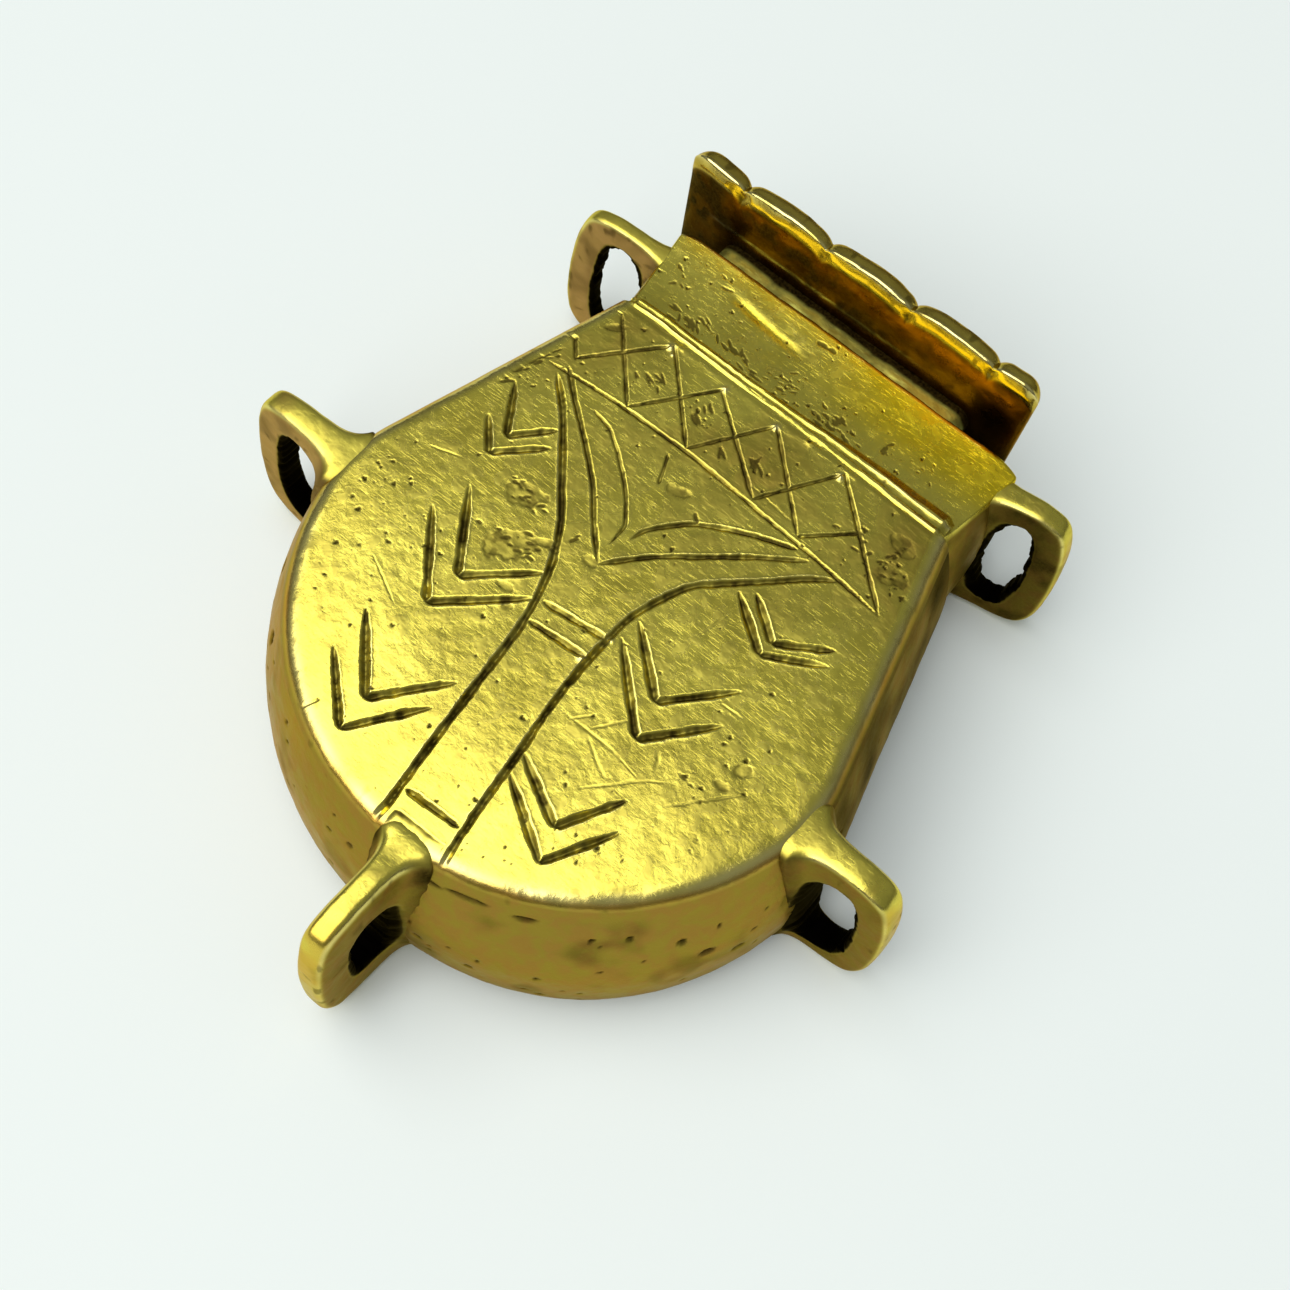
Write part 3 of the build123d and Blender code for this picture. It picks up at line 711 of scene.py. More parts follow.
def face_rim(border_u, border_v, top):
    """Rings that roll over the face's edge and close its underside, and their marks."""
    low_z = FACE_Z - FACE_T
    meet_z = low_z + 0.4
    meet_growth = wall_growth(meet_z)
    count = len(top)
    rings, ring_wear, ring_tint = [], [], []
    for t in np.linspace(0, 1, 11)[1:]:
        weights = ((1 - t) ** 3, 3 * t * (1 - t) ** 2, 3 * t * t * (1 - t), t ** 3)
        growth = np.dot(weights, (-RIM_IN, -RIM_IN + 0.75, meet_growth - 0.24, meet_growth))
        height = sum(w * h for w, h in zip(weights, (top, top - 0.06, meet_z + 0.60, meet_z)))
        edge = square_edge(border_u, border_v, growth)
        rings.append(np.column_stack([edge, height]))
        ring_wear.append(0.7 * np.exp(-((t - 0.42) / 0.2) ** 2))
        ring_tint.append(0.9 * np.exp(-((t - 0.66) / 0.16) ** 2))
    closing = ((wall_growth(low_z + 0.2), low_z + 0.2), (wall_growth(low_z), low_z), (-2.0, low_z))
    for growth, level in closing:
        rings.append(np.column_stack([square_edge(border_u, border_v, growth), np.full(count, level)]))
        ring_wear.append(0.0)
        ring_tint.append(0.0)
    rim = np.vstack(rings)
    fade = np.repeat([1.0] * 7 + [0.6, 0.3, 0, 0, 0, 0], count)
    rim[:, 2] += 0.05 * noise(rim * (1, 1, 0.3), 1.6, 13) * fade
    off_step = np.tile(np.abs(border_v - 1) >= 1e-9, len(rings))
    age = np.repeat(np.concatenate([np.linspace(0.0, 1.0, 10) ** 1.5, [1, 1, 1]]), count)
    shaded = ease(rim[:, 0], 12, 19) * ease(rim[:, 1], -6, 0) * age
    # Dark spots, and painted shade where the rim turns down on the right flank
    spots = np.maximum(0.25 * ease(noise(rim, 0.7, 14), 0.62, 0.75), 0.75 * shaded)
    worn = np.repeat(ring_wear, count) * (0.70 + 0.45 * noise(rim, 2.2, 15))
    tint = np.repeat(ring_tint, count) * (0.6 + 0.5 * noise(rim, 3.0, 16))
    return rim, {"grime_and_shade": spots * off_step, "wear_and_sheen": worn * off_step, "tint": tint * off_step, "patina": age}


def build_face():
    """The engraved face with its rolled edge, closed below."""
    leaves = face_leaves()
    used = np.zeros((FINEST + 1, FINEST + 1), bool)
    for cells, size in zip(leaves, (4, 2, 1)):
        for a in (0, size):
            for b in (0, size):
                used[cells[:, 0] + a, cells[:, 1] + b] = True
    index = np.cumsum(used).reshape(used.shape) - 1
    nodes = np.column_stack(np.nonzero(used)) / FINEST * 2 - 1
    place = square_to_face(nodes[:, 0], nodes[:, 1])
    z, grime_and_shade, wear_and_sheen, old = mark_face(place[:, 0], place[:, 1])

    border = np.array([b for b in square_border(FINEST) if used[b]])
    start = index[border[:, 0], border[:, 1]]
    border_u, border_v = border[:, 0] / FINEST * 2 - 1, border[:, 1] / FINEST * 2 - 1
    rim, rim_marks = face_rim(border_u, border_v, z[start])
    faces = leaf_faces(leaves, index, used)
    faces += close_rings(start, len(z), len(border), len(rim) // len(border))
    points = np.vstack([np.column_stack([place, z]), rim, [[*MIDDLE, FACE_Z - FACE_T]]])
    top_marks = {"grime_and_shade": grime_and_shade, "wear_and_sheen": wear_and_sheen, "tint": 0 * wear_and_sheen, "patina": old}
    hub_marks = {"grime_and_shade": 0.5, "wear_and_sheen": 0.0, "tint": 0.0, "patina": 1.0}
    marks = {mark: np.concatenate([top_marks[mark], rim_marks[mark], [hub_marks[mark]]]) for mark in MARKS}
    make_piece("engraved_face", points, faces, "case", "front_plate", case_brass, marks)


# ---------------------------------------------------------------- the side wall and the back
WALL_STEP = 0.2
# Marks on the wall: share of the outline, height, half width, half height, depth
wall_marks = [(0.700, 9.0, 0.55, 0.28, 0.5), (0.345, 11.8, 0.35, 0.8, 0.35), (0.300, 12.6, 0.5, 0.6, 0.3),
              (0.530, 13.6, 1.6, 0.12, 0.22), (0.560, 13.8, 1.4, 0.10, 0.22), (0.595, 13.5, 0.9, 0.14, 0.22),
              (0.420, 7.0, 0.3, 0.25, 0.2), (0.235, 8.0, 0.35, 0.3, 0.2), (0.72, 7.5, 0.4, 0.3, 0.25),
              (0.655, 12.3, 0.25, 0.22, 0.2), (0.685, 11.0, 0.3, 0.3, 0.25)]


def build_side_wall():
    """The swollen side wall, open at the neck, with casting pits outside and plain inside."""
    columns = int(2 * half_edge / WALL_STEP)
    share = np.linspace(0, 1, columns)
    heights = np.linspace(BACK_T, FACE_Z - FACE_T, int((FACE_Z - FACE_T - BACK_T) / WALL_STEP))
    level, across = np.meshgrid(heights, share, indexing="ij")
    outline = belly_edge(across, wall_growth(level))
    points = np.dstack([outline, level])
    lumps = 0.05 * noise(points, 4.0, 2) + 0.025 * noise(points, 1.3, 3) + 0.012 * noise(points, 0.45, 4)
    sunk = np.zeros_like(level)
    dark = np.zeros_like(level)
    random = np.random.RandomState(8)
    sizes = 0.10 + 0.16 * random.rand(120) ** 3
    small = [(random.rand(), 2 + 11 * random.rand(), r, r * 0.9, r) for r in sizes]
    for mark_share, mark_z, half_across, half_up, deep in wall_marks + small:
        away = np.hypot((across - mark_share) * 2 * half_edge / half_across, (level - mark_z) / half_up)
        sunk = np.maximum(sunk, deep * (1 - ease(away, 0.3, 1.2)))
        dark = np.maximum(dark, 1 - ease(away, 0.7, 1.2))
    fade = ease(level, 1.0, 2.0) * (1 - ease(level, 13.5, 14.3))
    sag = np.exp(-((across - 0.63) / 0.12) ** 2) * ease(level, 0.9, 3.0) * (1 - ease(level, 7.0, 14.5))
    outline = belly_edge(across, wall_growth(level) + (lumps - sunk) * fade + 0.9 * sag)
    outer = np.dstack([outline, level])
    inner_level, inner_across = np.meshgrid(heights[::-4], share, indexing="ij")
    inner = np.dstack([belly_edge(inner_across, wall_growth(inner_level) - WALL), inner_level])
    skin = np.vstack([outer, inner])
    rows = len(skin)
    faces = quads(rows, columns, closed_rows=True).tolist() + end_caps(rows, columns)
    patch = ease(fractal(outer, 3.5, 5), 0.15, 0.6)
    # Painted shade: darker towards the floor, where the contact shadow falls, and dark on the right flank,
    # which lies in shadow
    low = 0.45 * (1 - ease(level, 1.0, 6.0))
    right_flank_shade = 0.95 * ease(across, 0.74, 0.82) * (0.75 + 0.35 * noise(outer, 2.5, 12))
    grime_and_shade = np.maximum.reduce([0.95 * dark, 0.35 * patch, low, right_flank_shade])
    # Painted light: the wall's left side is tinted warmer and lighter in patches, for the light that falls on
    # it from the left
    left = ease(0.5 - across, 0.0, 0.12)
    tint = 0.35 * left * ease(fractal(outer, 5.0, 9), -0.6, 0.4)
    inside = np.ones(inner_level.shape)
    marks = {"grime_and_shade": np.vstack([grime_and_shade, 0.8 * inside]), "tint": np.vstack([tint, 0 * inside]), "patina": 1.0}
    make_piece("side_wall", skin, faces, "case", "side_band", case_brass, marks)


def build_back():
    """The flat back, with a rounded edge and shallow rubbed hollows below."""
    cells = 96
    at = np.linspace(-1, 1, cells + 1)
    u, v = np.meshgrid(at, at, indexing="ij")
    place = square_to_face(u, v, wall_growth(0.0) - 0.5)
    under = np.dstack([place, 0 * u])
    under[..., 2] = 0.03 + 0.03 * noise(under, 3.0, 2)
    border = np.array(square_border(cells))
    start = border[:, 0] * (cells + 1) + border[:, 1]
    border_u, border_v = at[border[:, 0]], at[border[:, 1]]
    rings = []
    for growth, z in ((-0.18, 0.06), (-0.03, 0.22), (0.0, 0.5), (0.0, BACK_T)):
        edge = square_edge(border_u, border_v, wall_growth(z) + growth)
        rings.append(np.column_stack([edge, np.full(len(border), z)]))
    points = np.vstack([under.reshape(-1, 3), *rings, [[*MIDDLE, BACK_T]]])
    faces = quads(cells + 1, cells + 1).tolist()
    faces += close_rings(start, (cells + 1) ** 2, len(border), len(rings))
    grime_and_shade = 0.35 * ease(fractal(points, 5.0, 4), -0.1, 0.5)
    make_piece("flat_back", points, faces, "case", "back_plate", case_brass,
               {"grime_and_shade": grime_and_shade, "patina": 1.0})


# ---------------------------------------------------------------- the neck and the step
NECK_ROOT_HALF = 14.3
MOUTH_HALF = 15.6
MOUTH_SHIFT = -0.1
NECK_ROOT_BULGE = 2.1
MOUTH_BULGE = 0.6
NECK_WALL = 0.9
NECK_SIDE_WALL = 1.2
neck_pits = scattered_pits(70, 9, (-15, 20.5), (14, 28.5), [
    (-8, 22.5, 1.4, 24), (-1, 22.5, 1.0, 18), (2, 22.5, 1.3, 24), (-12, 25, 1.5, 10), (8, 22.5, 1.2, 8)])


def neck_section(centre_x, half, bulge, low, top, top_count, side_count):
    """The neck's cross-section as x and z, starting at the top right and running left."""
    across = centre_x + half * np.linspace(1, -1, top_count, endpoint=False)
    bottom_half = half + 0.6 * bulge
    t = np.linspace(0, 1, side_count, endpoint=False)
    peak = 0.6
    swell = np.where(t < peak, np.sin(t / peak * pi / 2), 1 - 0.4 * ((t - peak) / (1 - peak)) ** 2)
    left = np.column_stack([centre_x - half - bulge * swell, top + (low - top) * t])
    base = np.column_stack([centre_x + bottom_half * np.linspace(-1, 1, side_count, endpoint=False),
                            np.full(side_count, low)])
    right = left[::-1] * (-1, 1) + (2 * centre_x, 0)
    section = np.vstack([np.column_stack([across, np.full(top_count, top)]), left, base, right])
    for _ in range(3):
        section = (np.roll(section, 1, 0) + 2 * section + np.roll(section, -1, 0)) / 4
    return section


def long_hollow(x, y):
    """How strongly each point lies in the long shallow hollow that is worn into the neck."""
    along = (x + 5.8) / 3.4
    aside = (y - 26.05 + 0.10 * (x + 5.3)) / 0.36
    return np.exp(-along ** 4 - aside ** 2)


def neck_lie(x, y):
    """How far the neck's top lies below its flat level: a shallow cove behind the mouth."""
    t = (y - STEP_Y) / (MOUTH_Y - STEP_Y)
    cove = 0.26 * np.sin(pi * np.clip(t, 0, 1)) - 0.35 * (1 - ease(t, 0.0, 0.16))
    flat = np.stack([x, y, 0 * x], -1)
    hollow = 0.08 * long_hollow(x, y)
    return cove + hollow + 0.05 * noise(flat, 3.2, 3) + 0.02 * noise(flat, 1.2, 4)


def build_neck():
    """The flattened sleeve that the plug slides in, with a worn lip at the mouth."""
    top_count, side_count = 400, 44
    lip = 0.35
    rows = np.concatenate([np.arange(STEP_Y, MOUTH_Y - lip, 0.075),
                           MOUTH_Y - lip * (1 - np.sin(np.linspace(0, 1, 5) * pi / 2))])
    skin, darkening, warm, old, worn = [], [], [], [], []

    def section_at(y, wall_share):
        t = (y - STEP_Y) / (MOUTH_Y - STEP_Y)
        half = NECK_ROOT_HALF + t * (MOUTH_HALF - NECK_ROOT_HALF) - wall_share * NECK_SIDE_WALL
        bulge = NECK_ROOT_BULGE + t * (MOUTH_BULGE - NECK_ROOT_BULGE)
        low = wall_share * BACK_T
        section = neck_section(t * MOUTH_SHIFT, half, bulge, low, NECK_TOP - wall_share * NECK_WALL,
                               top_count, side_count)
        outside = np.clip((np.abs(section[:, 0] - t * MOUTH_SHIFT) - half + 2.2) / 3.0, 0, 1)
        rounded = 1.5 * (1 - np.sqrt(1 - 0.98 * outside ** 2)) * t
        return section[:, 0], y - rounded, section[:, 1]

    for y in rows:
        roll = max(0.0, (y - MOUTH_Y + lip) / lip)
        x, along_y, z = section_at(y, 0.28 * (1 - sqrt(max(0.0, 1 - roll ** 2))))
        on_top = ease(z, NECK_TOP - 0.8, NECK_TOP - 0.1)
        lie = neck_lie(x, along_y)
        pit_depth, pit_dark = sink_pits(x, along_y, neck_pits)
        dabs = mark_dabs(x, along_y, neck_dabs, 31)
        here = np.column_stack([x, along_y, z])
        rough = 0.03 * dabs
        side_lumps = 0.03 * noise(here, 2.0, 7)
        z = z - on_top * (lie + pit_depth + rough)
        x = x + (1 - on_top) * side_lumps
        skin.append(np.column_stack([x, along_y + roll * 0.05 * noise(here, 0.9, 8), np.maximum(z, 0.02)]))
        low_side = (1 - on_top) * (0.15 + 0.35 * ease(fractal(here, 2.0, 8), -0.2, 0.5))
        darkening.append(np.maximum.reduce([on_top * 0.9 * pit_dark, on_top * 0.8 * dabs, low_side]))
        # Painted glow of reflected light: a warm tint on the neck's top towards the right, near the mouth and
        # in the long hollow
        golden_glow = ease(x, -4, 6) * ease(along_y, 22.5, 26.0) + 0.35 * ease(along_y, 26.5, 28.5)
        golden_glow = golden_glow + 0.6 * long_hollow(x, along_y)
        warm.append(np.clip(0.85 * golden_glow * on_top, 0, 0.9))
        old.append(1 - on_top)
        at_lip = ease(y, MOUTH_Y - 0.5, MOUTH_Y - 0.25)
        worn.append(0.5 * on_top * at_lip * ease(noise(here, 2.0, 11), -0.3, 0.4))
    closing = [(0.72, MOUTH_Y), (0.93, MOUTH_Y - 0.08), (1.0, MOUTH_Y - 0.25)]
    closing += [(1.0, y) for y in np.linspace(MOUTH_Y - 0.6, STEP_Y, 16)]
    for share, y in closing:
        skin.append(np.column_stack(section_at(y, share)))
        darkening.append(np.full(len(skin[0]), 0.75))
        for marks in (warm, old, worn):
            marks.append(np.zeros(len(skin[0])))
    faces = quads(len(skin), len(skin[0]), closed_rows=True, closed_columns=True).tolist()
    make_piece("neck_shell", np.array(skin), faces, "case", "neck_sleeve", neck_brass,
               {"grime_and_shade": darkening, "tint": warm, "patina": old, "wear_and_sheen": worn})


def build_step_ridge():
    """The hand-filed ridge along the step: a double line that fans out and widens to the right."""
    columns = 420
    half = step_corner(0) - 0.15
    x = np.linspace(-half, half, columns)
    line = np.column_stack([x, 0 * x, 0 * x])
    section = [(-0.40, -0.22), (-0.24, -0.06), (-0.10, 0.06), (0.0, 0.10), (0.10, 0.05), (0.24, -0.04),
               (0.46, -0.03), (0.60, 0.03), (0.76, -0.04), (1.05, -0.32), (1.40, -0.70), (1.60, -1.10)]
    profile = catmull(section, 60)
    widen = 0.85 + 0.75 * ease(x, -2.0, 13.0)
    middle = STEP_Y - 0.25 * ease(x, 4, 14) + 0.10 * noise(line, 4.5, 5) + 0.03 * noise(line, 1.1, 6)
    first = 0.30 + 0.60 * ease(-x, 4, 12) + 0.55 * ease(x, 6, 12)
    first = np.maximum(first + 0.35 * noise(line, 2.1, 7) + 0.2 * noise(line, 0.7, 8), 0)
    second = 0.25 + 0.55 * noise(line, 3.0, 9) + 0.25 * noise(line, 0.8, 10) + 1.3 * ease(x, 3, 12)
    face_z = face_height(x, np.full(columns, STEP_Y - 0.1))
    end_drop = 0.35 * (1 - ease(half - np.abs(x), 0, 0.7))
    rows = []
    for offset, rise in profile:
        here = np.column_stack([x, np.full(columns, offset * 2.5), 0 * x])
        crest = 0.03 * noise(here, 1.2, 3) + 0.02 * noise(here, 0.5, 4)
        share = np.where(offset < 0.32, first, np.maximum(second, 0))
        scaled = rise * share if rise > 0 else np.full(columns, rise)
        y = middle + offset * np.where(offset > 0, widen, 1.0)
        drop = np.maximum(0, offset - 0.8) * 0.6 * (widen - 0.85)
        rows.append(np.column_stack([x, y, face_z + scaled + crest * (rise > -0.3) - end_drop - drop]))
    grid = np.array(rows)
    under = grid[::-1].copy()
    under[..., 2] = np.minimum(under[..., 2] - 0.35, FACE_Z - 0.9)
    skin = np.vstack([grid, under])
    faces = quads(len(skin), columns, closed_rows=True).tolist() + end_caps(len(skin), columns)

    def band(offset, width):
        return np.exp(-((profile[:, 0] - offset) / width) ** 2)[:, None]

    grime_and_shade = 0.40 * (band(0.32, 0.09) + band(-0.36, 0.09)) * (0.6 + 0.6 * noise(grid, 1.2, 6))
    grime_and_shade = grime_and_shade + 0.5 * ease(noise(grid, 0.5, 11), 0.5, 0.7)
    lit = (band(0.0, 0.09) * first * (0.55 + 0.6 * noise(grid, 1.6, 7))
           + band(0.60, 0.10) * 0.4 * second + band(1.05, 0.25) * 0.4 * ease(x, 2, 10))
    wear_and_sheen = np.clip(lit, 0, 1)
    make_piece("step_ridge", skin, faces, "case", "neck_bead", case_brass,
               {"grime_and_shade": np.vstack([grime_and_shade, 0 * grime_and_shade]), "wear_and_sheen": np.vstack([wear_and_sheen, 0 * wear_and_sheen])})


# ---------------------------------------------------------------- the cord lugs
# Outer edge and hole edge of a lug, matched point by point: distance out from the case, height
LUG_OUTER = [(-1.9, 9.5), (-1.5, 14.9), (-0.7, 15.85), (1.0, 15.9), (3.2, 15.9), (5.3, 15.8), (7.0, 15.1),
             (7.9, 12.8), (8.4, 9.6), (8.6, 6.4), (8.5, 3.2), (7.7, 1.1), (6.0, 0.4), (4.0, 0.3), (1.6, 0.3),
             (-0.6, 0.8), (-1.7, 3.5)]
LUG_HOLE = [(2.4, 9.4), (2.3, 11.4), (2.6, 12.3), (3.2, 12.9), (4.0, 13.2), (4.8, 13.0), (5.4, 12.1),
            (5.8, 10.6), (6.2, 8.6), (6.4, 6.4), (6.3, 4.4), (5.9, 2.8), (5.2, 2.0), (4.3, 1.8), (3.6, 2.0),
            (3.1, 3.0), (2.7, 5.4)]
LUG_NECK_HOLE = [(2.0, 9.2), (2.2, 11.6), (2.5, 12.7), (3.0, 13.3), (3.8, 13.6), (4.6, 13.4), (5.2, 12.5),
                 (5.6, 10.8), (5.9, 8.6), (6.0, 6.4), (5.9, 4.6), (5.6, 3.1), (5.0, 2.4), (4.2, 2.1),
                 (3.3, 2.3), (2.5, 3.2), (2.0, 5.6)]
# Heading in degrees, thickness, flare at its root, size of the hole, how dark its sides are, its metal
LUGS = {"lug_neck_left": (184.0, 1.5, 0.6, 1.0, 0.0, copper_brass),
        "lug_neck_right": (8.0, 1.9, 1.2, 1.0, 0.80, lug_brass),
        "lug_side_left": (180.0, 2.2, 1.6, 1.0, 0.0, copper_brass),
        "lug_side_right": (0.0, 2.3, 1.5, 1.0, 0.40, lug_brass),
        "lug_bottom": (270.0, 2.1, 1.3, 0.64, 0.35, lug_brass)}
LUG_ALONG = 170
LUG_AROUND = 60
LUG_START = -0.9        # where a lug starts inside the case


def reach_of(name):
    """How far a lug stands out from the belly's front edge, which its outer end was drawn from."""
    low, high = cad_box(name)
    outer = {"lug_side_left": -low[0] - 20.0, "lug_side_right": high[0] - 20.0, "lug_bottom": -low[1] - 20.1,
             "lug_neck_left": 8.55, "lug_neck_right": 7.85}
    return outer[name]


def lug_outlines(root, outward, name, high, hole_share):
    """The outer edge and the hole's edge of a lug as distance out and height, matched point by point."""
    extra = reach_of(name) - max(r for r, z in LUG_OUTER)
    at_neck = high < FACE_Z - 0.5

    def grown(points):
        shape = np.array(points)
        shape[:, 0] += extra * ease(shape[:, 0], 2.5, 6.0)
        shape[:, 1] *= high / 15.9
        return shape

    # The root's top meets the face or the neck
    at = root + outward * LUG_START
    top_z = NECK_TOP - neck_lie(at[0], at[1]) if at_neck else face_height(at[0], at[1])
    outer = grown(LUG_OUTER)
    near_root = 1 - ease(outer[:, 0], LUG_START, 4.0)
    on_top = outer[:, 1] > 0.9 * high
    outer[:, 1] += np.where(on_top, near_root * (top_z - 0.12 - high), 0)
    hole = grown(LUG_NECK_HOLE if at_neck else LUG_HOLE)
    hole = hole.mean(0) + hole_share * (hole - hole.mean(0))
    return catmull(outer, LUG_ALONG, closed=True), catmull(hole, LUG_ALONG, closed=True)


def mark_lug(points, toward, aside, reach, clear, high, side_darkness, seed):
    """A lug's marks. toward is 1 at its outer edge and -1 in its hole, aside is 1 and -1 on its flanks,
    and clear is how far each point stands out from the case."""
    z = points[..., 2]
    in_hole = ease(-toward, 0.60, 0.85)[None, :] * np.ones((LUG_ALONG, 1))
    flank = ease(np.abs(aside), 0.80, 0.97)[None, :] * (1 - in_hole)
    top_side = ease(toward, 0.80, 0.97)[None, :] * ease(z, 0.80 * high, 0.93 * high)
    rim_side = ease(toward, 0.80, 0.97)[None, :] * (1 - top_side)
    root_shade = (1 - ease(clear, -0.2, 1.5)) * (1 - top_side)
    pits = ease(noise(points, 0.7, seed + 5), 0.50, 0.70)
    soot = ease(fractal(points, 2.2, seed + 6), -0.2, 0.5)
    # Painted shadow: the hole's inside goes black, and root_shade darkens the sides in the crease where the
    # lug meets the case
    grime_and_shade = np.maximum.reduce([1.7 * in_hole, root_shade * (0.55 + 0.45 * soot), 0.55 * pits * (1 - top_side),
                               0.35 * soot * (1 - top_side), side_darkness * flank * (0.75 + 0.35 * soot)])
    corner = ease(toward, 0.72, 0.95) * ease(np.abs(aside), 0.62, 0.92)
    wear_and_sheen = corner[None, :] * (0.25 + 0.75 * ease(z, 9, 13.5)) * ease(clear, 0.2, 1.5)
    wear_and_sheen = wear_and_sheen * (1 - in_hole) * (0.75 + 0.4 * noise(points, 1.8, seed + 7))
    tint = 0.55 * rim_side * ease(fractal(points, 2.0, seed + 8), -0.3, 0.4)
    tint = tint + 0.45 * top_side * ease(reach, 4.5, 7.0) * ease(noise(points, 1.5, seed + 9), -0.4, 0.3)
    patina = np.clip(flank + 0.35 * rim_side, 0, 1) * (1 - top_side)
    return {"grime_and_shade": grime_and_shade, "wear_and_sheen": wear_and_sheen, "tint": tint, "patina": patina}


def build_lug(name, heading, thick, root_flare, hole_share, side_darkness, metal, seed):
    """An upright plate that flares into the case, with a ragged cord hole."""
    low, high = cad_box(name)
    outward = np.array([cos(radians(heading)), sin(radians(heading))])
    across = np.array([-outward[1], outward[0]])
    tip = (low + high)[:2] / 2 + outward * np.abs((high - low)[:2] @ np.abs(outward)) / 2
    root = tip - outward * reach_of(name)
    outer, hole = lug_outlines(root, outward, name, high[2], hole_share)

    # A rounded square swept round between the two edges
    toward, aside = squared_circle(LUG_AROUND, 4.2).T
    centre, half = (outer + hole) / 2, (outer - hole) / 2
    plane = centre[:, None, :] + half[:, None, :] * toward[None, :, None]
    reach = plane[..., 0]
    swell = 0.25 if high[2] < FACE_Z - 0.5 else 1.0
    clear = reach - wall_growth(np.clip(plane[..., 1], 0, FACE_Z)) * swell
    flare = root_flare * np.exp(-np.maximum(clear + 0.15, 0) / 0.85)
    width = (thick / 2 + flare) * aside[None, :]

    # Ragged edges in the hole and soft lumps outside
    flat = np.dstack([plane, 0 * width + seed])
    ragged = 0.26 * np.round(1.7 * noise(flat, 1.0, seed)) / 1.7 + 0.12 * noise(flat, 0.4, seed + 1)
    bite = ragged * ease(-toward, 0.5, 1.0)[None, :]
    unit = half / np.linalg.norm(half, axis=1, keepdims=True)
    lumps = 0.06 * noise(flat, 2.6, seed + 2) + 0.02 * noise(np.dstack([plane, width]), 0.8, seed + 3)
    shift = bite + lumps * np.maximum(toward, 0) * 0.6 * ease(clear, 0, 1.5)
    plane = plane + unit[:, None, :] * shift[..., None]
    width = width + lumps * aside
    x = root[0] + plane[..., 0] * outward[0] + width * across[0]
    y = root[1] + plane[..., 0] * outward[1] + width * across[1]
    points = np.dstack([x, y, np.maximum(plane[..., 1], 0.05)])
    faces = quads(LUG_ALONG, LUG_AROUND, closed_rows=True, closed_columns=True).tolist()
    marks = mark_lug(points, toward, aside, reach, clear, high[2], side_darkness, seed)
    make_piece("cord_" + name, points, faces, "case", name, metal, marks)


# ---------------------------------------------------------------- the lid
LID_ASIDE = 0.45            # how far the lid sits to the left
LID_NOTCHES = np.array([-12.7, -5.2, 2.5, 9.7])
LOBE = 0.62                 # height of a lobe above its notches


LID_CREST = 0.62            # height of the crest above its front face
LID_RIDGE = -0.45           # where the crest is highest, -1 at its front and 1 at its back


def mark_lid(here, swing, below, pinch, centre_x, low_z):
    """The marks along one row of the lid. swing runs from -1 at the front, towards the case, to 1 at the
    back, and below is the distance under the crest. Only the front is darkened, with stains and painted
    shade."""
    x, z = here[:, 0], here[:, 2]
    in_front = swing < 0
    face_side = ease(below, 1.0, 1.5)
    right_glow = ease(x, centre_x - 2, centre_x + 10)
    blotch_and_shade = ease(fractal(here, 1.6, 7), 0.05, 0.45)
    if in_front:
        # Painted shade on the front: at its left end, beside the dark gap at the mouth, and low down, where
        # it faces the neck
        left_end_shade = (1 - ease(x, x[0] + 1, x[0] + 6)) * (0.35 + 0.6 * ease(noise(here, 0.6, 9), -0.2, 0.4))
        shadowed = np.minimum(1.3 * (1 - ease(z, low_z + 8.5, 14.5)), 1)
        blotch_and_shade = np.maximum.reduce([0.8 * blotch_and_shade * (1 - 0.4 * right_glow), left_end_shade, shadowed])
    else:
        blotch_and_shade = 0.35 * blotch_and_shade
    notch_dirt = 0.5 * np.exp(-(pinch / 0.3) ** 2) * ease(below, 0.2, 0.6)
    crest_spots = 0.6 * ease(noise(here, 0.55, 12), 0.45, 0.7)
    # Painted reflection: a thin bright line low on the front face, where the neck's mouth is reflected
    reflected_line = np.exp(-((z - 15.0) / 0.10) ** 2) * ease(x, x[0] + 2, x[0] + 4) * (1 - ease(x, 0, 6)) * in_front
    # Rubbed metal and a painted highlight along the crest's front edge
    front_edge_wear_and_sheen = np.exp(-((swing - LID_RIDGE + 0.10) / 0.26) ** 2) * (abs(swing) < 1)
    behind = 0.4 * (1 - face_side) * ease(swing, -0.1, 0.5)
    return {"grime_and_shade": face_side * blotch_and_shade + (1 - face_side) * np.maximum(notch_dirt, crest_spots),
            "wear_and_sheen": front_edge_wear_and_sheen * np.clip(0.75 + 0.7 * noise(here, 1.4, 8), 0, 1) + 0.5 * reflected_line * face_side,
            "tint": np.maximum(face_side * right_glow * 0.35, behind),
            "patina": np.maximum(face_side * (1.0 if in_front else 0.45), 0.10 + 0.20 * noise(here, 1.5, 13))}


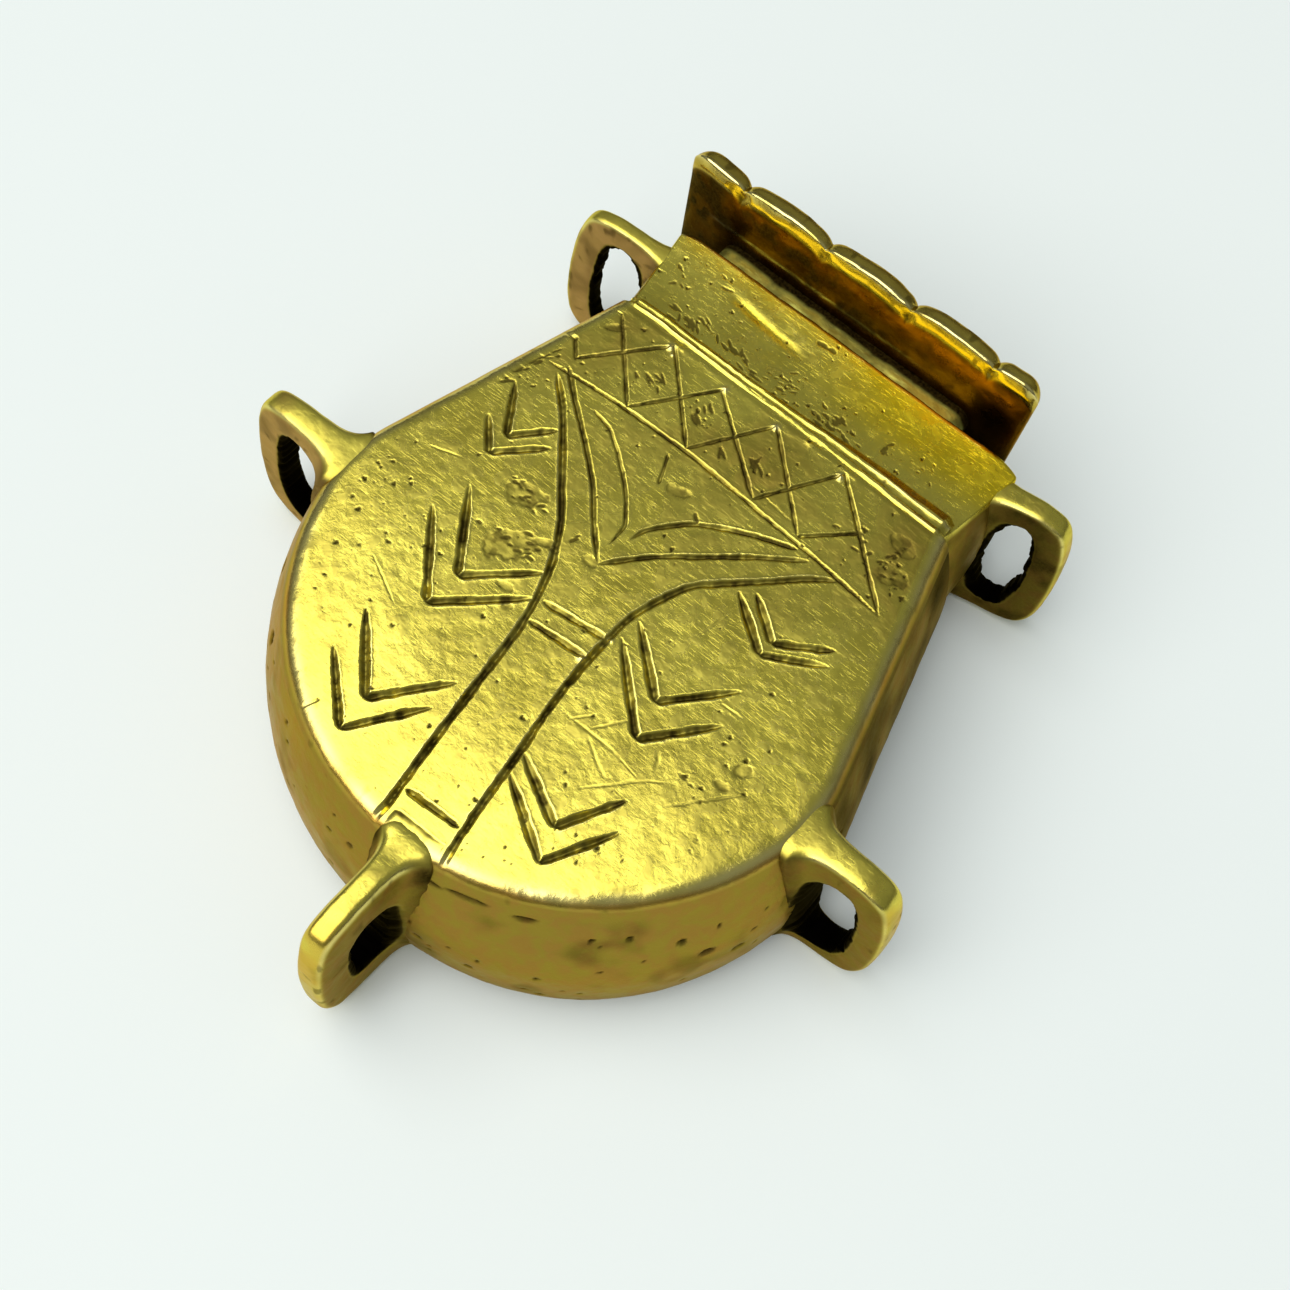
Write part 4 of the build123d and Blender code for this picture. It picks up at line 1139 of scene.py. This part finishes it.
def build_lid_plate():
    """The upright end plate with a crimped, scalloped top edge."""
    low, high = cad_box("lid_plate")
    centre_x = (low[0] + high[0]) / 2 - LID_ASIDE
    half = (high[0] - low[0]) / 2 + 0.1
    thick = high[1] - low[1]
    middle_y = (low[1] + high[1]) / 2
    columns = 330
    spread = np.linspace(-1, 1, columns)
    x = centre_x + half * (0.35 * np.sin(spread * pi / 2) + 0.65 * spread)
    ends = np.concatenate([[x[0] - 2.2], LID_NOTCHES, [x[-1] + 2.4]])
    lobe = np.clip(np.searchsorted(ends, x) - 1, 0, len(ends) - 2)
    share = (x - ends[lobe]) / (ends[lobe + 1] - ends[lobe])
    rise = np.sqrt(np.clip(1 - (2 * share - 1) ** 2, 0, 1))
    pinch = np.min(np.abs(x[:, None] - LID_NOTCHES), axis=1)
    crest = high[2] - LOBE + LOBE * rise ** 0.9 - 0.10 * np.exp(-(pinch / 0.35) ** 2)
    here = np.column_stack([x, 0 * x, 0 * x])
    crest = crest + 0.10 * noise(here, 2.5, 3) + 0.05 * noise(here, 0.9, 4)
    corner = np.clip((np.abs(x - centre_x) - half + 1.8) / 1.8, 0, 1)
    crest = crest - 1.8 * (1 - np.sqrt(1 - corner ** 2 * 0.999))
    foot = low[2] + 1.8 * (1 - np.sqrt(1 - corner ** 2 * 0.999))
    slim = (1 - np.clip(np.abs(x - centre_x) / half, 0, 1) ** 18) ** 0.5
    front_count, round_count = 100, 26
    climb, flat = np.linspace(0, 1, front_count), np.ones(front_count)
    up = np.concatenate([climb, np.ones(round_count), climb[::-1]])
    turn = np.concatenate([-flat, np.linspace(-1, 1, round_count), flat])
    rows, marks = [], {mark: [] for mark in MARKS}
    for level, swing in zip(up, turn):
        z = foot + (crest - LID_CREST - foot) * level
        if abs(swing) < 1:
            ahead = min(1.0, (swing + 1) / (LID_RIDGE + 1))
            behind = max(0.0, (swing - LID_RIDGE) / (1 - LID_RIDGE))
            z = z + LID_CREST * (sqrt(1 - (1 - ahead) ** 2) - 0.75 * behind ** 1.25)
        here = np.column_stack([x, np.full(columns, swing), z])
        below = crest - z
        depth_y = thick / 2 * slim * np.sign(swing) * np.abs(np.sin(swing * pi / 2)) ** 0.7
        roll = np.exp(-((below - 0.75) / 0.55) ** 2)
        swell = (0.22 * rise + 0.09 * noise(here, 1.6, 9)) * roll - 0.24 * np.exp(-(pinch / 0.55) ** 2) * roll
        texture = 0.02 * noise(here, 2.2, 5) + 0.02 * noise(here, 0.7, 6) - 0.04
        depth_y = depth_y + np.sign(swing) * slim * (swell + texture)
        rows.append(np.column_stack([x, middle_y + depth_y, z]))
        for mark, values in mark_lid(here, swing, below, pinch, centre_x, low[2]).items():
            marks[mark].append(values)
    faces = quads(len(rows), columns, closed_rows=True).tolist()
    make_piece("scalloped_lid", np.array(rows), faces, "lid", "lid_plate", lid_brass, marks)


def rounded_rectangle(half_x, half_z, radius, count):
    """Points as x and z round a rectangle with rounded corners, by equal steps from its right side."""
    flat_x, flat_z = half_x - radius, half_z - radius
    arc = radius * pi / 2
    sides = [((half_x, -flat_z), (0, 1), 2 * flat_z, (flat_x, flat_z)),
             ((flat_x, half_z), (-1, 0), 2 * flat_x, (-flat_x, flat_z)),
             ((-half_x, flat_z), (0, -1), 2 * flat_z, (-flat_x, -flat_z)),
             ((-flat_x, -half_z), (1, 0), 2 * flat_x, (flat_x, -flat_z))]
    walk = np.arange(count) / count * (4 * (flat_x + flat_z + arc))
    x, z = np.zeros(count), np.zeros(count)
    start = 0.0
    for quarter, ((from_x, from_z), (way_x, way_z), length, (corner_x, corner_z)) in enumerate(sides):
        on_side = (walk >= start) & (walk < start + length)
        x[on_side] = from_x + way_x * (walk[on_side] - start)
        z[on_side] = from_z + way_z * (walk[on_side] - start)
        start += length
        on_arc = (walk >= start) & (walk < start + arc)
        turned = quarter * pi / 2 + (walk[on_arc] - start) / radius
        x[on_arc] = corner_x + radius * np.cos(turned)
        z[on_arc] = corner_z + radius * np.sin(turned)
        start += arc
    return x, z


PLUG_AROUND = 400


def build_plug():
    """The hollow plug behind the lid, filed rough outside."""
    low, high = cad_box("lid_plug")
    middle, half = (low + high) / 2, (high - low) / 2
    taper, wall, corner_r, tip_round = 1.2, 1.0, 1.2, 0.3

    def ring_at(y, inset):
        slim = taper * (high[1] - y) / (high[1] - low[1]) + inset
        x, z = rounded_rectangle(half[0] - slim, half[2] - inset, max(corner_r - inset, 0.3), PLUG_AROUND)
        ring = np.column_stack([middle[0] + x, np.full(PLUG_AROUND, y), middle[2] + z])
        return ring, np.column_stack([x, 0 * x, z])

    rows, darkening = [], []
    tip_y = low[1] + tip_round * (1 - np.sin(np.linspace(0.2, 1, 4) * pi / 2))
    for y in np.concatenate([np.linspace(high[1], low[1] + tip_round, 150), tip_y]):
        at_tip = max(0.0, 1 - (y - low[1]) / tip_round)
        ring, spoke = ring_at(y, 0.25 * at_tip ** 2)
        rough = 0.03 + 0.03 * noise(ring, 1.4, 3) + 0.05 * ease(noise(ring, 0.8, 4), 0.1, 0.7)
        rows.append(ring - spoke / np.linalg.norm(spoke, axis=1, keepdims=True) * rough[:, None])
        clouded = 0.35 * ease(fractal(ring, 1.6, 5), 0.05, 0.5) + 0.25 * ease(noise(ring, 0.6, 6), 0.3, 0.6)
        # Painted shadow, with soiling, on the plug's end next to the lid
        shadowed = 1.2 * ease(ring[:, 1] + 0.15 * noise(ring, 1.5, 7), MOUTH_Y + 1.1, MOUTH_Y + 1.8)
        darkening.append(np.minimum(clouded + shadowed, 1))
    for y in np.linspace(low[1], high[1], 14):
        rows.append(ring_at(y, wall)[0])
        darkening.append(np.full(PLUG_AROUND, 0.6))
    faces = quads(len(rows), PLUG_AROUND, closed_rows=True, closed_columns=True).tolist()
    make_piece("plug_tube", np.array(rows), faces, "lid", "lid_plug", plug_brass,
               {"grime_and_shade": darkening})


# ---------------------------------------------------------------- felt and needles
def build_felt():
    """The wool wad that fills the plug and grips the needles, with a dimple at each one."""
    low, high = cad_box("needle_felt")
    centre, half = (low + high) / 2, (high - low) / 2
    needle_x = [np.mean(cad_box(f"needle_{k + 1}"), axis=0)[0] for k in range(NEEDLES)]
    around, depth_rows, cap_rows = 240, 40, 26
    unit = squared_circle(around, 7.0)
    rows = []
    for share in np.linspace(1 / cap_rows, 1, cap_rows):
        ring = unit * half[[0, 2]] * (1 - 0.05 * share ** 8) * share + centre[[0, 2]]
        y = np.full(around, low[1] + 0.55 * share ** 10)
        for at in needle_x:
            y = y + 0.55 * np.exp(-((ring[:, 0] - at) ** 2 + (ring[:, 1] - needle_z) ** 2) / 0.5)
        rows.append(np.column_stack([ring[:, 0], y, ring[:, 1]]))
    for y in np.linspace(low[1] + 1.1, high[1], depth_rows):
        ring = unit * half[[0, 2]] * (1 - 0.004) + centre[[0, 2]]
        rows.append(np.column_stack([ring[:, 0], np.full(around, y), ring[:, 1]]))
    skin = np.array(rows)
    inward = centre - skin
    inward[..., 1] = 0
    inward /= np.maximum(np.linalg.norm(inward, axis=-1, keepdims=True), 1e-6)
    fuzz = 0.06 + 0.05 * noise(skin, 1.1, 3) + 0.03 * noise(skin, 0.4, 4)
    skin = skin + inward * fuzz[..., None]
    skin[..., 1] += 0.10 * np.abs(noise(skin, 0.9, 5)) * (skin[..., 1] < low[1] + 1.5)
    points = np.vstack([skin.reshape(-1, 3), [[centre[0], low[1] + 0.06, centre[2]]]])
    faces = quads(len(skin), around, closed_columns=True).tolist()
    faces += [[(k + 1) % around, k, len(points) - 1] for k in range(around)]
    faces.append([(len(skin) - 1) * around + k for k in range(around)])
    felt = make_piece("felt_wad", points, faces, "lid", "needle_felt", wool_felt)


def needle_eye(centre_x, eye_y, z, length, half_width):
    """Points and faces of the eye: a long ring of round wire."""
    wire, ring_count, wire_count = 0.13, 64, 12
    around = np.linspace(0, 2 * pi, ring_count, endpoint=False)
    long_half, wide_half = length / 2 - wire * 0.2, half_width - wire
    path = np.column_stack([wide_half * np.sin(around), long_half * np.cos(around)])
    normal = np.column_stack([np.sin(around) / wide_half, np.cos(around) / long_half])
    normal /= np.linalg.norm(normal, axis=1, keepdims=True)
    turn = np.linspace(0, 2 * pi, wire_count, endpoint=False)
    spots = path[:, None, :] + normal[:, None, :] * wire * np.cos(turn)[None, :, None]
    height = np.broadcast_to(z + 1.35 * wire * np.sin(turn), spots.shape[:2])
    points = np.dstack([centre_x + spots[..., 0], eye_y + wire + long_half + spots[..., 1], height])
    return points.reshape(-1, 3), quads(ring_count, wire_count, closed_rows=True, closed_columns=True)


def build_needle(number):
    """A hand needle: tapered point in the felt, round shank and a flattened eye."""
    low, high = cad_box(f"needle_{number}")
    centre_x, z = (low[0] + high[0]) / 2, (low[2] + high[2]) / 2
    radius = (high[0] - low[0]) / 2
    around = 28
    angle = np.linspace(0, 2 * pi, around, endpoint=False)
    eye_length = 2.6
    eye_start = high[1] - low[1] - eye_length
    # Distance from the point and radius, for a shank of the drawn radius
    drawn = 0.42
    profile = [(0.0, 0.02), (0.6, 0.10), (1.8, 0.24), (3.4, 0.36), (5.0, 0.41), (9.0, drawn),
               (eye_start - 3.0, drawn), (eye_start - 1.0, 0.40), (eye_start, 0.33), (eye_start + 0.35, 0.22)]
    rows = []
    for along, size in catmull(profile, 90):
        size = size / drawn * radius
        flatten = 1 - 0.3 * ease(along, eye_start - 1.5, eye_start + 0.3)
        rows.append(np.column_stack([centre_x + size * np.cos(angle), np.full(around, high[1] - along),
                                     z + size * flatten * np.sin(angle)]))
    shank = np.array(rows).reshape(-1, 3)
    faces = quads(len(rows), around, closed_columns=True).tolist()
    faces += [list(range(around))[::-1], list(range(len(shank) - around, len(shank)))]
    eye, eye_faces = needle_eye(centre_x, low[1], z, eye_length, radius)
    faces += (eye_faces + len(shank)).tolist()
    make_piece(f"hand_needle_{number}", np.vstack([shank, eye]), faces, "lid", f"needle_{number}",
               steel)


# ---------------------------------------------------------------- build everything
wool_felt = felt_cloth()
steel = needle_steel()
NEEDLES = sum(1 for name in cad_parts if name.startswith("needle_") and name != "needle_felt")
needle_z = (cad_box("needle_1")[0][2] + cad_box("needle_1")[1][2]) / 2

build_face()
build_side_wall()
build_back()
build_neck()
build_step_ridge()
for order, (lug_name, lug_shape) in enumerate(LUGS.items()):
    build_lug(lug_name, *lug_shape, 20 + 10 * order)
build_lid_plate()
build_plug()
build_felt()
for needle_number in range(1, NEEDLES + 1):
    build_needle(needle_number)


# ---------------------------------------------------------------- floor, light and camera
def build_floor():
    """A wide pale floor at the height that the case lies on."""
    material, node = new_material("pale_floor")
    place = node("TexCoord", {}).outputs["Object"]
    cloud = node("TexNoise", {"Vector": place, "Scale": 9.0, "Detail": 3.0}).outputs["Fac"]
    tone = blended(node, cloud, (0.83, 0.895, 0.875), (0.86, 0.925, 0.905))
    surface = node("BsdfPrincipled", {"Base Color": tone, "Roughness": 0.6, "Specular IOR Level": 0.15})
    node("OutputMaterial", {"Surface": surface.outputs["BSDF"]})
    half = 3.0
    corners = [(-half, -half, 0), (half, -half, 0), (half, half, 0), (-half, half, 0)]
    mesh = bpy.data.meshes.new("floor")
    mesh.from_pydata(corners, [], [(0, 1, 2, 3)])
    mesh.materials.append(material)
    floor = bpy.data.objects.new("floor", mesh)
    bpy.context.scene.collection.objects.link(floor)


LIGHT_EDGE = Vector((1.0, 0.14, 0.0))         # the way that the light's long side runs


def add_area_light(name, direction, distance, size, power, colour=(1, 1, 1)):
    """An oblong soft light, its long side across the case, that shines on the middle of the case."""
    light = bpy.data.lights.new(name, "AREA")
    light.shape = "RECTANGLE"
    light.size, light.size_y = size
    light.energy = power
    light.color = colour
    lamp = bpy.data.objects.new(name, light)
    way = Vector(direction).normalized()
    across = (LIGHT_EDGE - way * LIGHT_EDGE.dot(way)).normalized()
    turn = Matrix((across, way.cross(across), way)).transposed().to_4x4()
    lamp.matrix_world = Matrix.Translation(way * distance) @ turn
    bpy.context.scene.collection.objects.link(lamp)


build_floor()
add_area_light("key", (-0.27, -0.43, 0.91), 2.0, (2.2, 3.0), 55.0, (1.0, 0.985, 0.97))


def build_studio():
    """A grey room that is darker near the floor's level and below it."""
    world = bpy.data.worlds.new("studio")
    bpy.context.scene.world = world
    world.use_nodes = True
    tree = world.node_tree
    way = tree.nodes.new("ShaderNodeTexCoord")
    parts = tree.nodes.new("ShaderNodeSeparateXYZ")
    tree.links.new(way.outputs["Generated"], parts.inputs[0])
    ramp = tree.nodes.new("ShaderNodeValToRGB")
    tree.links.new(parts.outputs["Z"], ramp.inputs[0])
    ramp.color_ramp.elements[0].position = 0.12
    ramp.color_ramp.elements[0].color = (0.09, 0.09, 0.10, 1)
    ramp.color_ramp.elements[1].position = 0.50
    ramp.color_ramp.elements[1].color = (0.235, 0.250, 0.250, 1)
    tree.links.new(ramp.outputs[0], tree.nodes["Background"].inputs["Color"])


build_studio()

CAMERA_AZIMUTH = radians(27.8)
CAMERA_ELEVATION = radians(65.17)
CAMERA_ROLL = radians(13.04)
CAMERA_DISTANCE = 120.1 * MM
CAMERA_ASIDE = 4.61 * MM
CAMERA_ABOVE = 3.79 * MM


def add_camera():
    """The camera, aimed past the middle of the case and rolled."""
    back = Vector((sin(CAMERA_AZIMUTH) * cos(CAMERA_ELEVATION), -cos(CAMERA_AZIMUTH) * cos(CAMERA_ELEVATION),
                   sin(CAMERA_ELEVATION)))
    level_right = (-back).cross(Vector((0, 0, 1))).normalized()
    level_up = level_right.cross(-back)
    right = cos(CAMERA_ROLL) * level_right + sin(CAMERA_ROLL) * level_up
    up = -sin(CAMERA_ROLL) * level_right + cos(CAMERA_ROLL) * level_up
    data = bpy.data.cameras.new("camera")
    data.sensor_width = 36.0
    data.lens = 44.65
    data.clip_start = 0.005
    data.clip_end = 20.0
    camera = bpy.data.objects.new("camera", data)
    turn = Matrix((right, up, back)).transposed().to_4x4()
    place = right * CAMERA_ASIDE + up * CAMERA_ABOVE + back * CAMERA_DISTANCE
    camera.matrix_world = Matrix.Translation(place) @ turn
    bpy.context.scene.collection.objects.link(camera)
    bpy.context.scene.camera = camera


add_camera()
bpy.context.scene.view_settings.view_transform = "Standard"
